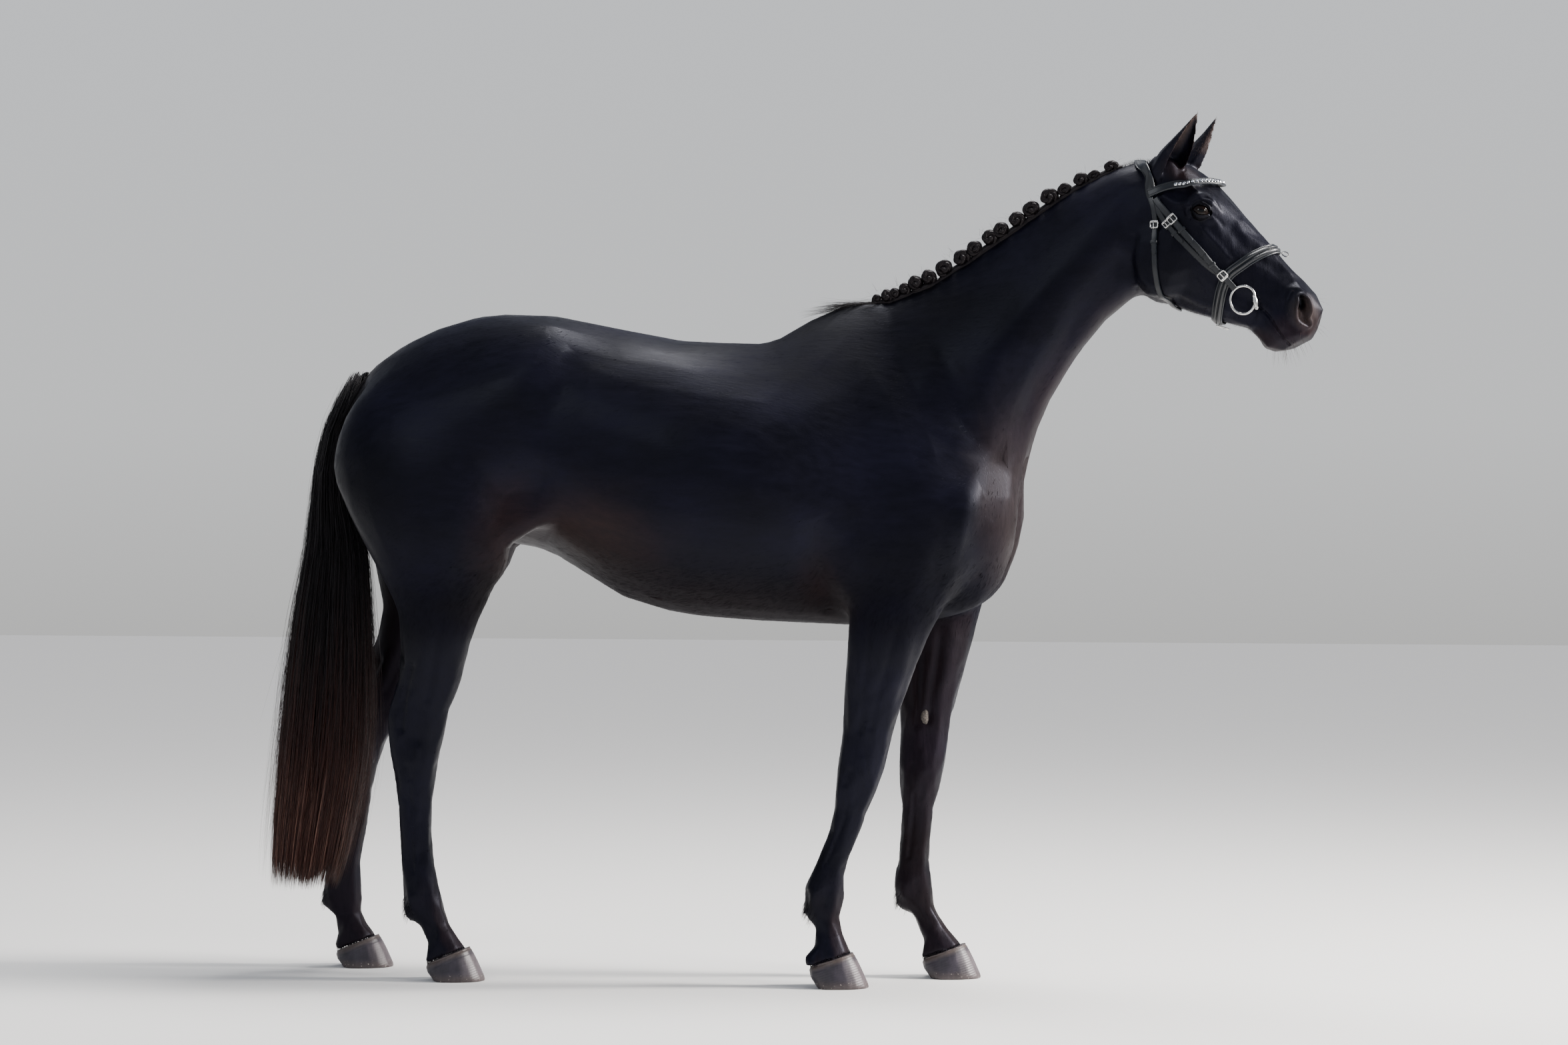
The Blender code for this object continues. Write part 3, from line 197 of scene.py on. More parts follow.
def camera():
    """A long lens level with the horse's back, a little before its right side."""
    data = bpy.data.cameras.new("camera")
    data.sensor_width = FILM_WIDTH
    data.lens = LENS
    data.shift_y = HORIZON_SHIFT
    data.clip_end = 100.0
    view = new_piece("camera", data)
    view.location = (CAMERA_DISTANCE * math.sin(CAMERA_AROUND) - SHIFT_X,
                     -CAMERA_DISTANCE * math.cos(CAMERA_AROUND), CAMERA_HEIGHT)
    view.rotation_euler = (math.radians(90), 0, CAMERA_AROUND)
    bpy.context.scene.camera = view


def lamp(name, place, size, power, colour):
    """A soft rectangular lamp that looks at the horse."""
    data = bpy.data.lights.new(name, "AREA")
    data.shape = "RECTANGLE"
    data.size, data.size_y = size
    data.energy = power
    data.color = colour
    light = new_piece(name, data)
    light.location = place
    light.rotation_euler = (Vector(LAMP_TARGET) - Vector(place)).to_track_quat("-Z", "Y").to_euler()


def studio():
    """A pale room with soft light from above, and a plain floor."""
    world = bpy.data.worlds.new("studio")
    bpy.context.scene.world = world
    world.use_nodes = True
    sky = world.node_tree.nodes["Background"]
    preset(sky, Strength=ROOM_LIGHT)
    way = node(world.node_tree, "ShaderNodeTexCoord")
    parts = node(world.node_tree, "ShaderNodeSeparateXYZ")
    link(way.outputs["Generated"], parts.inputs[0])
    shades = ramp(reckoned("MULTIPLY_ADD", parts.outputs[2], 0.5),
                  ((0.46, (0.60, 0.59, 0.57)), (0.505, (0.92, 0.93, 0.94)), (0.58, (0.92, 0.95, 1.00)),
                   (0.72, (0.30, 0.33, 0.39)), (1.0, (0.34, 0.37, 0.45))))
    link(shades, sky.inputs["Color"])
    for name, place, size, power, colour in LAMPS:
        lamp(name, place, size, power, colour)
    data = bpy.data.lights.new("key", "SUN")
    data.energy, data.angle, data.color = KEY_POWER, KEY_WIDTH, (1.0, 0.97, 0.94)
    key = new_piece("key", data)
    key.rotation_euler = (-Vector(KEY_FROM)).to_track_quat("-Z", "Y").to_euler()
    bpy.ops.object.select_all(action="DESELECT")
    bpy.ops.mesh.primitive_plane_add(size=FLOOR_SIZE, location=(0, 0, -0.0005))
    floor = bpy.context.active_object
    floor.name = "floor"
    bpy.ops.object.transform_apply(location=True, rotation=True, scale=True)
    paint, shader = blank("floor")
    preset(shader, Base_Color=(0.80, 0.79, 0.77, 1), Roughness=0.85)
    floor.data.materials.append(paint)


# -------- materials
def blank(name):
    """A new material and its Principled shader."""
    paint = bpy.data.materials.new(name)
    paint.use_nodes = True
    return paint, paint.node_tree.nodes["Principled BSDF"]


def wiring(*values):
    """The node tree that the sockets among these values are in."""
    return next(value.id_data for value in values if isinstance(value, bpy.types.NodeSocket))


def node(tree, kind, **values):
    """A new node with these properties."""
    made = tree.nodes.new(kind)
    for key, value in values.items():
        setattr(made, key, value)
    return made


def preset(made, **values):
    """Set plain inputs of a node, their names written with underlines."""
    for name, value in values.items():
        made.inputs[name.replace("_", " ")].default_value = value


def link(source, target):
    """Join two sockets."""
    source.id_data.links.new(source, target)


def noise(coordinates, scale, stretch=(1, 1, 1), detail=3.0, turn=(0, 0, 0)):
    """The factor of a noise, stretched along one axis where the grain runs."""
    tree = wiring(coordinates)
    place = node(tree, "ShaderNodeMapping")
    preset(place, Scale=stretch, Rotation=turn)
    link(coordinates, place.inputs["Vector"])
    texture = node(tree, "ShaderNodeTexNoise")
    preset(texture, Scale=scale, Detail=detail)
    link(place.outputs[0], texture.inputs["Vector"])
    return texture.outputs["Fac"]


def ramp(factor, stops):
    """Colours along a factor: (place, colour) pairs."""
    made = node(wiring(factor), "ShaderNodeValToRGB")
    elements = made.color_ramp.elements
    while len(elements) < len(stops):
        elements.new(0.5)
    for element, (place, colour) in zip(elements, stops):
        element.position = place
        element.color = (*colour, 1)
    link(factor, made.inputs["Fac"])
    return made.outputs["Color"]


def greys(factor, low=0.0, high=1.0, dark=0.0, light=1.0):
    """Greys along a factor: dark up to low, light from high."""
    return ramp(factor, ((low, (dark,) * 3), (high, (light,) * 3)))


def mixed(factor, first, second, blend="MIX"):
    """One colour laid over another; factor is a number or a socket."""
    made = node(wiring(factor, first, second), "ShaderNodeMix", data_type="RGBA", blend_type=blend)
    for socket, value in ((made.inputs[0], factor), (made.inputs[6], first), (made.inputs[7], second)):
        if isinstance(value, bpy.types.NodeSocket):
            link(value, socket)
        elif isinstance(value, tuple):
            socket.default_value = (*value, 1)
        else:
            socket.default_value = value
    return made.outputs[2]


def reckoned(operation, first, second):
    """One number worked out from two numbers or sockets."""
    made = node(wiring(first, second), "ShaderNodeMath", operation=operation)
    for socket, value in zip(made.inputs, (first, second)):
        if isinstance(value, bpy.types.NodeSocket):
            link(value, socket)
        else:
            socket.default_value = value
    made.inputs[2].default_value = 0.5
    return made.outputs[0]


def times(first, second):
    """The product of two numbers or sockets."""
    return reckoned("MULTIPLY", first, second)


def plus(first, second):
    """The sum of two numbers or sockets."""
    return reckoned("ADD", first, second)


def roughened(shader, factor, spread_by, least):
    """Roughness from a pattern: the least, and how much the pattern adds."""
    rough = reckoned("MULTIPLY_ADD", factor, spread_by)
    rough.node.inputs[2].default_value = least
    link(rough, shader.inputs["Roughness"])
    return rough


def bumped(shader, height, strength, distance):
    """Raise the surface by a height pattern."""
    made = node(wiring(height), "ShaderNodeBump")
    preset(made, Strength=strength, Distance=distance)
    link(height, made.inputs["Height"])
    link(made.outputs[0], shader.inputs["Normal"])


def coordinates(paint):
    """The piece's own Object coordinates."""
    return node(paint.node_tree, "ShaderNodeTexCoord").outputs["Object"]


def channel(paint, name):
    """The three parts of a painted attribute."""
    made = node(paint.node_tree, "ShaderNodeAttribute", attribute_name=name)
    parts = node(paint.node_tree, "ShaderNodeSeparateColor")
    link(made.outputs["Color"], parts.inputs[0])
    return parts.outputs[0], parts.outputs[1], parts.outputs[2]


COAT_BLACK = (0.0010, 0.0009, 0.0016)
# partly the coat's own blue-black, partly a painted reflection of the sky
COAT_BLUE = (0.0026, 0.0024, 0.0070)
COAT_BROWN = (0.0230, 0.0108, 0.0068)
# pale hair of the ears and muzzle; on the muzzle also painted sheen, on the breast a painted highlight
COAT_PALE_AND_PAINTED_SHEEN = (0.1500, 0.1250, 0.1150)
# painted shade: the colour laid under the belly, round the eyes and inside the nostrils
COAT_PAINTED_SHADE = (0.0010, 0.0008, 0.0009)


def coat_paint():
    """Short glossy hair: black with a blue cast, partly a painted reflection of the sky; brown where it is
    thin and on the front of the pasterns; pale on the ears and the muzzle, with painted sheen on the muzzle
    and a painted highlight on the breast; painted shade under the belly, round the eyes and inside the
    nostrils.
    """
    paint, shader = blank("coat")
    here = coordinates(paint)
    # pale holds pale hair with painted sheen and a painted highlight; deep holds painted shade
    brown, pale, deep = channel(paint, "coat_tone_and_painted_light")
    legs, face, under = channel(paint, "coat_lie")
    patches = noise(here, 3.2, (1, 1, 1.4), 5.0)
    grains = []
    for scale, stretch, detail in ((105.0, 0.12, 4.0), (330.0, 0.14, 2.0)):
        body = noise(here, scale, (stretch, 1.0, 0.55), detail, (0, math.radians(22), 0))
        down = noise(here, scale * 1.3, (1.0, 1.0, stretch), detail)
        nose = noise(here, scale * 1.5, (1.0, 1.0, stretch), detail, (0, math.radians(-44), 0))
        grains.append(mixed(face, mixed(legs, greys(body), greys(down)), greys(nose)))
    strands, hairs = grains
    # the blue in this mottle is partly the coat's own tone and partly a painted reflection of the sky
    base = mixed(greys(patches, 0.35, 0.68), COAT_BLACK, COAT_BLUE)
    base = mixed(brown, base, COAT_BROWN)
    # pale hair of the ears and muzzle, with painted sheen on the muzzle and a painted highlight on the
    # breast
    base = mixed(pale, base, COAT_PALE_AND_PAINTED_SHEEN)
    # painted shade under the belly, round the eyes and inside the nostrils
    base = mixed(times(deep, 0.9), base, COAT_PAINTED_SHADE)
    base = mixed(1.0, base, greys(strands, 0.25, 0.75, 0.72, 1.30), "MULTIPLY")
    link(base, shader.inputs["Base Color"])
    rough = roughened(shader, strands, 0.16, 0.23)
    rough = plus(rough, times(under, 0.40))
    link(plus(rough, times(patches, 0.22)), shader.inputs["Roughness"])
    preset(shader, Specular_IOR_Level=0.125, Specular_Tint=(0.74, 0.77, 1.0, 1), Sheen_Weight=0.004,
           Sheen_Roughness=0.45, Sheen_Tint=(0.66, 0.70, 1.0, 1))
    bumped(shader, plus(times(strands, 0.5), times(hairs, 0.5)), 0.5, 0.0011)
    return paint


# -------- skin
SKIN_VOXEL = 0.0042
SKIN_FACES = 165000
COAT_DEPTH = 0.0012
SMOOTH_ROUNDS = 110


def skin():
    """One closed skin over trunk, neck, head, ears and legs."""
    piece = copied("skin", FLESH + ["eye_left", "eye_right"])
    applied(piece, "REMESH", mode="VOXEL", voxel_size=SKIN_VOXEL)
    rows = rows_of(piece)
    head = step(rows[:, 0], 0.80, 0.92)
    ears = step(rows[:, 2], 2.02, 2.06)
    legs = 1 - step(rows[:, 2], 0.74, 0.98)
    soft = (1 - head) * (1 - legs) + 0.16 * legs * (1 - head) + 0.09 * head
    soft = soft * (1 - ears) + 0.03 * ears
    crest = np.exp(-(rows[:, 1] / 0.05) ** 2) * step(rows[:, 0], 0.05, 0.20) * (rows[:, 2] > 1.55)
    soft = soft * (1 - 0.7 * crest)
    weigh(piece, "soft", soft, 50)
    sharp = rows
    applied(piece, "SMOOTH", factor=0.5, iterations=SMOOTH_ROUNDS, vertex_group="soft")
    rows = rows_of(piece)
    put_rows(piece, sharp - rows)
    applied(piece, "SMOOTH", factor=0.5, iterations=2 * SMOOTH_ROUNDS, vertex_group="soft")
    rows = rows + rows_of(piece)
    put_rows(piece, rows)
    piece.vertex_groups.clear()
    head = step(rows[:, 0], 0.80, 0.92)
    legs = 1 - step(rows[:, 2], 0.80, 1.00)
    loose = 1 - 0.72 * np.maximum(head, 0.62 * legs)
    weigh(piece, "loose", loose)
    triangles = 2 * len(piece.data.polygons)
    applied(piece, "DECIMATE", ratio=SKIN_FACES / triangles, vertex_group="loose",
            vertex_group_factor=0.05, use_collapse_triangulate=True)
    piece.vertex_groups.clear()
    return piece


# -------- modelling the skin
def on_side(tree, x, z, side):
    """The place on the skin met from one side at this x and z of the straight horse."""
    start, end = spot(x, 0.45 * side, z), spot(x, 0.0, z)
    return tree.ray_cast(start, (end - start).normalized())[0] or end


def to_route(rows, route):
    """How far each row is from a broken line."""
    best = np.full(len(rows), 1e9)
    for a, b in zip(route, route[1:] if len(route) > 1 else route):
        a, b = np.array(a), np.array(b)
        length = max((b - a) @ (b - a), 1e-12)
        along = np.clip(((rows - a) @ (b - a)) / length, 0, 1)
        best = np.minimum(best, np.linalg.norm(rows - (a + along[:, None] * (b - a)), axis=1))
    return best


def curve_through(points, pieces):
    """Points along a smooth curve through these, so many from one to the next."""
    rows = [points[0] * 2 - points[1], *points, points[-1] * 2 - points[-2]]
    return [0.5 * (2 * b + (c - a) * t + (2 * a - 5 * b + 4 * c - d) * t * t
                   + (3 * b - a - 3 * c + d) * t ** 3)
            for a, b, c, d in zip(rows, rows[1:], rows[2:], rows[3:])
            for t in np.arange(pieces) / pieces] + [points[-1]]


def dense(tree, points, side, pieces=6):
    """A route laid on the skin from one side, through smooth points between its own."""
    smooth = curve_through([Vector((x, 0, z)) for x, z in points], pieces)
    return [on_side(tree, p.x, p.z, side) for p in smooth]


def stroke(piece, route, reach, depth):
    """Raise (or, minus, press) the skin along a route; the reach is how wide it is."""
    rows, normals = rows_of(piece), normals_of(piece)
    low = np.min(route, axis=0) - reach * 3
    high = np.max(route, axis=0) + reach * 3
    near = np.nonzero(np.all((rows > low) & (rows < high), axis=1))[0]
    if len(near) == 0:
        return
    amount = depth * np.exp(-(to_route(rows[near], route) / reach) ** 2)
    rows[near] += normals[near] * amount[:, None]
    put_rows(piece, rows)


def finer(piece, places, reach):
    """Cut the faces near these places in four."""
    data = piece.data
    centres = listed(data.polygons, "center")
    close = np.zeros(len(centres), bool)
    for place in places:
        close |= np.linalg.norm(centres - np.array(place), axis=1) < reach
    only(piece)
    bpy.ops.object.mode_set(mode="EDIT")
    bpy.ops.mesh.select_mode(type="FACE")
    bpy.ops.mesh.select_all(action="DESELECT")
    bpy.ops.object.mode_set(mode="OBJECT")
    data.polygons.foreach_set("select", close)
    bpy.ops.object.mode_set(mode="EDIT")
    bpy.ops.mesh.subdivide(number_cuts=1)
    bpy.ops.mesh.select_all(action="SELECT")
    bpy.ops.mesh.quads_convert_to_tris()
    bpy.ops.mesh.select_all(action="DESELECT")
    bpy.ops.object.mode_set(mode="OBJECT")


# Forms of the head, on both sides: points (x, z) seen from the side, reach, height
FACE_FORMS = (
    (((1.062, 1.846), (1.092, 1.812), (1.122, 1.776)), 0.009, 0.0042),  # facial crest
    (((1.05, 1.83), (1.08, 1.796), (1.104, 1.762)), 0.011, -0.0026),  # under it
    (((1.118, 1.852), (1.176, 1.79), (1.232, 1.742)), 0.015, -0.0034),  # beside the nose bone
    (((1.15, 1.868), (1.2, 1.812), (1.262, 1.742)), 0.008, 0.0016),  # edge of the nose bone
    (((1.085, 1.925), (1.065, 1.933), (1.035, 1.926)), 0.0095, 0.0034),  # brow bone
    (((1.022, 1.905), (0.992, 1.912), (0.965, 1.93)), 0.01, 0.0032),  # cheek arch
    (((1.018, 1.948), (0.998, 1.958)), 0.013, -0.0046),  # hollow over the eye
    (((0.888, 1.83), (0.88, 1.77), (0.892, 1.705)), 0.011, -0.005),  # behind the jaw
    (((0.905, 1.815), (0.905, 1.76), (0.93, 1.7)), 0.017, 0.003),  # rim of the jaw
    (((1.01, 1.69), (1.06, 1.668), (1.11, 1.65)), 0.012, 0.003),  # lower jaw bar
    (((1.068, 1.65), (1.062, 1.69), (1.045, 1.725)), 0.0038, 0.0014),  # vein over the jaw
    (((1.112, 1.77), (1.14, 1.728), (1.178, 1.69)), 0.0034, 0.0011),  # vein of the cheek
    (((1.13, 1.79), (1.165, 1.765), (1.205, 1.752)), 0.0032, 0.001),  # vein of the nose
    (((1.098, 1.722), (1.14, 1.69), (1.18, 1.672)), 0.014, -0.0026),  # before the cheek
    (((0.985, 1.85), (1.0, 1.8), (1.0, 1.75)), 0.026, 0.003),  # cheek muscle
)
EYE_FORMS = (
    (((1.028, 1.893), (1.044, 1.909), (1.066, 1.914), (1.084, 1.902)), 0.0026, -0.0018),  # lid fold
    (((1.036, 1.911), (1.06, 1.924), (1.084, 1.918), (1.096, 1.904)), 0.003, -0.0012),  # upper wrinkle
    (((1.034, 1.876), (1.058, 1.868), (1.084, 1.872)), 0.0028, -0.0013),  # lower fold
    (((1.088, 1.88), (1.1, 1.868), (1.108, 1.856)), 0.004, -0.0012),  # tear line
    (((1.03, 1.866), (1.058, 1.858), (1.086, 1.862)), 0.005, 0.0009),  # under the eye
)
MUZZLE_FORMS = (
    (((1.266, 1.694), (1.254, 1.655), (1.266, 1.618), (1.288, 1.6)), 0.008, -0.0036),  # behind nostril
    (((1.19, 1.66), (1.216, 1.634), (1.238, 1.6), (1.262, 1.566)), 0.0026, -0.0046),  # mouth line
    (((1.196, 1.672), (1.226, 1.644), (1.25, 1.61)), 0.008, 0.0016),  # upper lip
    (((1.192, 1.64), (1.212, 1.614), (1.236, 1.582)), 0.008, 0.0018),  # lower lip
    (((1.176, 1.672), (1.183, 1.654), (1.184, 1.638)), 0.0024, -0.0016),  # mouth corner
    (((1.166, 1.674), (1.173, 1.652)), 0.0024, -0.0012),  # wrinkle behind it
    (((1.236, 1.668), (1.244, 1.64), (1.262, 1.61)), 0.003, -0.001),  # lip wrinkle
    (((1.3, 1.596), (1.316, 1.606)), 0.006, -0.0014),  # under the nostril
)
LIPS = ((1.186, 1.656), (1.208, 1.636), (1.228, 1.612), (1.246, 1.588), (1.262, 1.566))
# Route of the nostril's opening, its half width, and how deep it goes
NOSTRIL = ((1.297, 1.68), (1.304, 1.667), (1.303, 1.65), (1.3, 1.632), (1.309, 1.617))
NOSTRIL_WIDTH = (0.0060, 0.0135, 0.0165, 0.0125, 0.0050)
NOSTRIL_DEPTH = 0.030
NOSTRIL_RIM = 0.0036

EYE_BALL = 0.0222
EYE_LENGTH, EYE_OPEN, EYE_UNDER = 0.0212, 0.0138, 0.0108    # half length, upper and lower opening
EYE_TILT = math.radians(-12)
LID = 0.0022


def middle_of(node_name):
    """The middle of a frame node."""
    low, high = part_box(node_name)
    return (low + high) / 2


def eye_frame(side):
    """Middle of the eyeball, its forward, upward and outward directions."""
    middle = middle_of("eye_left" if side > 0 else "eye_right")
    outward = spot(1.057 + 0.22, side * 1.0, 1.889 + 0.10) - spot(1.057, 0.0, 1.889)
    outward.normalize()
    ahead = spot(1.157, 0, 1.889) - spot(1.057, 0, 1.889)
    ahead = (ahead - outward * ahead.dot(outward)).normalized()
    upward = outward.cross(ahead) * side
    upward = upward if upward.z > 0 else -upward
    turn = Matrix.Rotation(-EYE_TILT * side, 3, outward)
    return middle, turn @ ahead, turn @ upward, outward


def lids(piece, side):
    """Draw the skin over the eyeball and open it between the lids."""
    middle, ahead, upward, outward = eye_frame(side)
    rows = rows_of(piece)
    local = rows - np.array(middle)
    near = np.nonzero((np.linalg.norm(local, axis=1) < 0.040) & (local @ np.array(outward) > -0.004))[0]
    u, v, w = (local[near] @ np.array(axis) for axis in (ahead, upward, outward))
    reach = np.clip(1 - (u / EYE_LENGTH) ** 2, 0, None)
    top, bottom = EYE_OPEN * reach ** 0.62, -EYE_UNDER * reach ** 0.75
    beyond = np.maximum(np.abs(u) - EYE_LENGTH, 0)
    outside = np.where(v > 0, v - top, bottom - v)
    outside = np.where(beyond > 0, np.hypot(beyond, v), outside)
    edge = 0.0009
    on_edge = np.abs(outside) < edge
    v = np.where(on_edge & (beyond == 0), np.where(v > 0, top, bottom), v)
    outside = np.where(on_edge, 0.0, outside)
    apart = u ** 2 + v ** 2
    ball = np.sqrt(np.clip(EYE_BALL ** 2 - apart, 0, None))
    lid = np.sqrt(np.clip((EYE_BALL + LID) ** 2 - apart, 0, None))
    soft = 0.0050
    joined = 0.5 * (w + lid + np.sqrt((w - lid) ** 2 + soft ** 2)) - 0.18 * soft
    share = 1 - step(outside, 0.0002, 0.0080)
    w_out = joined * (1 - share) + lid * share
    w_out = w_out + (w - w_out) * step(outside, 0.016, 0.024)
    w_new = np.where(outside < 0, ball - 0.0060, w_out)
    moved = np.array(middle) + np.outer(u, ahead) + np.outer(v, upward) + np.outer(w_new, outward)
    rows[near] = moved
    put_rows(piece, rows)


def nostril(piece, tree, side):
    """Open the nostril: a comma with a raised rim, deep towards its top."""
    points = dense(tree, NOSTRIL, side, pieces=5)
    ends = np.linspace(0, 1, len(NOSTRIL_WIDTH))
    widths = np.interp(np.linspace(0, 1, len(points)), ends, NOSTRIL_WIDTH)
    rows = rows_of(piece)
    middle = np.array(points).mean(axis=0)
    near = np.nonzero(np.linalg.norm(rows - middle, axis=1) < 0.055)[0]
    best = np.full(len(near), 1e9)
    for point, width in zip(points, widths):
        best = np.minimum(best, np.linalg.norm(rows[near] - np.array(point), axis=1) - width)
    inward = spot(1.262, side * 0.004, 1.690) - spot(1.306, side * 0.046, 1.650)
    inward.normalize()
    ahead = (rows[near] - middle) @ np.array(spot(1.3, 0, 1.66) - spot(1.2, 0, 1.61)) / 0.112
    depth = NOSTRIL_DEPTH * (1 - step(best, -0.0105, 0.0006)) \
        * (0.35 + 0.65 * step(ahead, -0.014, 0.004))
    rim = NOSTRIL_RIM * np.exp(-((best - 0.0038) / 0.0042) ** 2)
    normals = normals_of(piece)[near]
    rows[near] += np.outer(depth, inward) + normals * rim[:, None]
    put_rows(piece, rows)


def is_fore(leg):
    """Whether a leg is a fore leg."""
    return leg.startswith("fore")


def side_of(leg):
    """1 for a left leg, -1 for a right one."""
    return SIDES[leg.split("_")[1]]


def leg_reach(rows, leg, z):
    """The back and front of a leg, and how far its middle is from the horse's, at one height."""
    side = side_of(leg)
    fore = is_fore(leg)
    chosen = rows[(np.abs(rows[:, 2] - z) < 0.008) & (rows[:, 1] * side > 0.02)
                  & ((rows[:, 0] > -0.3) == fore)]
    if z > 0.78:
        chosen = chosen[chosen[:, 1] * side > 0.09]
    return chosen[:, 0].min(), chosen[:, 0].max(), chosen[:, 1].mean()


# Forms of the legs: (share of the depth from the back, height) points, reach, height of the form
FORE_FORMS = (
    (((0.4, 0.455), (0.4, 0.38), (0.38, 0.3)), 0.0048, -0.0034),  # before the tendons
    (((0.62, 0.44), (0.62, 0.33)), 0.006, 0.0012),  # cannon bone
    (((0.55, 0.56), (0.62, 0.52)), 0.01, 0.0022),  # knee bones
    (((0.62, 0.47), (0.58, 0.45)), 0.008, -0.0018),
    (((0.3, 0.53), (0.26, 0.5)), 0.009, -0.0024),
    (((0.3, 0.235), (0.26, 0.205)), 0.011, 0.003),  # fetlock
    (((0.62, 0.235), (0.6, 0.205)), 0.009, -0.0014),
    (((0.42, 0.165), (0.42, 0.12)), 0.007, -0.0016),  # pastern
    (((0.62, 0.87), (0.6, 0.76), (0.58, 0.64)), 0.01, -0.0036),  # between forearm muscles
    (((0.3, 0.86), (0.34, 0.74), (0.38, 0.63)), 0.009, -0.003),
    (((0.8, 0.84), (0.78, 0.74)), 0.016, 0.003),
)
HIND_FORMS = (
    (((0.42, 0.48), (0.4, 0.4), (0.38, 0.27)), 0.005, -0.0036),  # before the tendons
    (((0.66, 0.46), (0.64, 0.33)), 0.006, 0.0012),
    (((0.24, 0.78), (0.24, 0.7), (0.28, 0.625)), 0.0105, -0.0068),  # hollow before the hamstring
    (((0.6, 0.575), (0.58, 0.545)), 0.012, 0.0034),  # hock bones
    (((0.38, 0.53), (0.44, 0.5)), 0.008, -0.0022),
    (((0.28, 0.205), (0.26, 0.178)), 0.011, 0.0028),  # fetlock
    (((0.62, 0.215), (0.6, 0.185)), 0.009, -0.0014),
    (((0.42, 0.15), (0.42, 0.115)), 0.007, -0.0016),
    (((0.6, 0.9), (0.58, 0.8), (0.62, 0.7)), 0.012, -0.004),  # between gaskin muscles
)
# Forms of the body, both sides: (x, z) points, reach, height
BODY_FORMS = (
    (((0.37, 1.62), (0.46, 1.5), (0.45, 1.38)), 0.024, -0.007),  # before the shoulder
    (((0.3, 1.61), (0.38, 1.5), (0.425, 1.42), (0.44, 1.37)), 0.016, 0.006),  # blade edge
    (((0.27, 1.54), (0.34, 1.44), (0.4, 1.34)), 0.02, -0.003),  # beside the blade's spine
    (((0.44, 1.37), (0.5, 1.29), (0.502, 1.2), (0.47, 1.11)), 0.017, 0.0085),  # point of the shoulder
    (((0.59, 1.36), (0.56, 1.29), (0.543, 1.226), (0.514, 1.161), (0.488, 1.1), (0.45, 1.035),
      (0.4, 0.975)), 0.011, -0.0095),  # before the arm muscle
    (((0.543, 1.031), (0.478, 0.974), (0.413, 0.925)), 0.011, -0.006),  # under the breast
    (((0.415, 1.3), (0.45, 1.2), (0.43, 1.08), (0.38, 0.96)), 0.012, -0.0046),  # arm muscle edge
    (((0.47, 1.16), (0.455, 1.06), (0.41, 0.96)), 0.016, 0.005),
    (((0.33, 1.28), (0.25, 1.2), (0.17, 1.12)), 0.016, -0.0034),  # over the triceps
    (((0.3, 1.18), (0.27, 1.06), (0.27, 0.96)), 0.013, -0.003),
    (((0.112, 1.15), (0.116, 1.03), (0.132, 0.92)), 0.015, -0.007),  # elbow pocket
    (((0.078, 1.17), (0.06, 1.11), (0.072, 1.04)), 0.006, -0.0018),  # wrinkles behind it
    (((0.05, 1.16), (0.034, 1.11), (0.044, 1.05)), 0.006, -0.0014),
    (((-0.555, 1.61), (-0.545, 1.575)), 0.024, 0.0085),  # point of the hip
    (((-0.5, 1.6), (-0.48, 1.54), (-0.5, 1.46)), 0.03, -0.007),  # before the hip
    (((-0.59, 1.5), (-0.62, 1.36), (-0.64, 1.22)), 0.032, -0.007),  # hollow of the flank
    (((-0.64, 1.56), (-0.8, 1.52), (-0.96, 1.44)), 0.024, -0.003),  # croup muscle
    (((-0.97, 1.46), (-0.95, 1.25), (-0.905, 1.04)), 0.016, -0.005),  # thigh groove
    (((-1.03, 1.36), (-1.01, 1.2), (-0.97, 1.06)), 0.014, -0.003),
    (((-0.745, 1.18), (-0.72, 1.11), (-0.715, 1.05)), 0.022, 0.005),  # stifle
    (((-0.76, 1.03), (-0.77, 0.96)), 0.014, -0.0034),
    (((-0.42, 1.24), (-0.3, 1.13), (-0.1, 1.06), (0.08, 1.04)), 0.007, 0.0018),  # belly vein
    (((-0.36, 1.4), (-0.35, 1.2)), 0.02, -0.0016),  # last ribs
    (((-0.29, 1.42), (-0.27, 1.18)), 0.017, -0.0014),
    (((-0.22, 1.43), (-0.19, 1.17)), 0.016, -0.0012),
    (((0.84, 1.78), (0.76, 1.66), (0.65, 1.47), (0.58, 1.33)), 0.015, -0.0056),  # jugular groove
    (((0.8, 1.85), (0.69, 1.72), (0.56, 1.56)), 0.026, 0.003),  # neck muscle
    (((0.7, 1.88), (0.58, 1.76), (0.44, 1.66)), 0.026, -0.0026),  # under the crest
)
MIDDLE_FORMS = (
    (((0.605, 0.0, 1.34), (0.6, 0.0, 1.2), (0.56, 0.0, 1.04)), 0.014, -0.011),  # breast groove
    (((0.57, 0.055, 1.33), (0.585, 0.06, 1.23), (0.565, 0.06, 1.11)), 0.03, 0.008),
    (((0.57, -0.055, 1.33), (0.585, -0.06, 1.23), (0.565, -0.06, 1.11)), 0.03, 0.008),
    (((1.188, 0.0, 1.59),), 0.014, -0.006),  # chin groove
    (((1.23, 0.0, 1.548), (1.262, 0.0, 1.556)), 0.004, -0.002),
    (((1.11, 0.0, 1.93), (1.18, 0.0, 1.85)), 0.02, -0.0016),  # flat of the face
    (((1.3, 0.0, 1.7), (1.326, 0.0, 1.66), (1.322, 0.0, 1.62)), 0.007, -0.0026),  # between nostrils
    (((-0.8, 0.0, 1.66), (-0.98, 0.0, 1.6)), 0.018, -0.003),  # along the croup
)


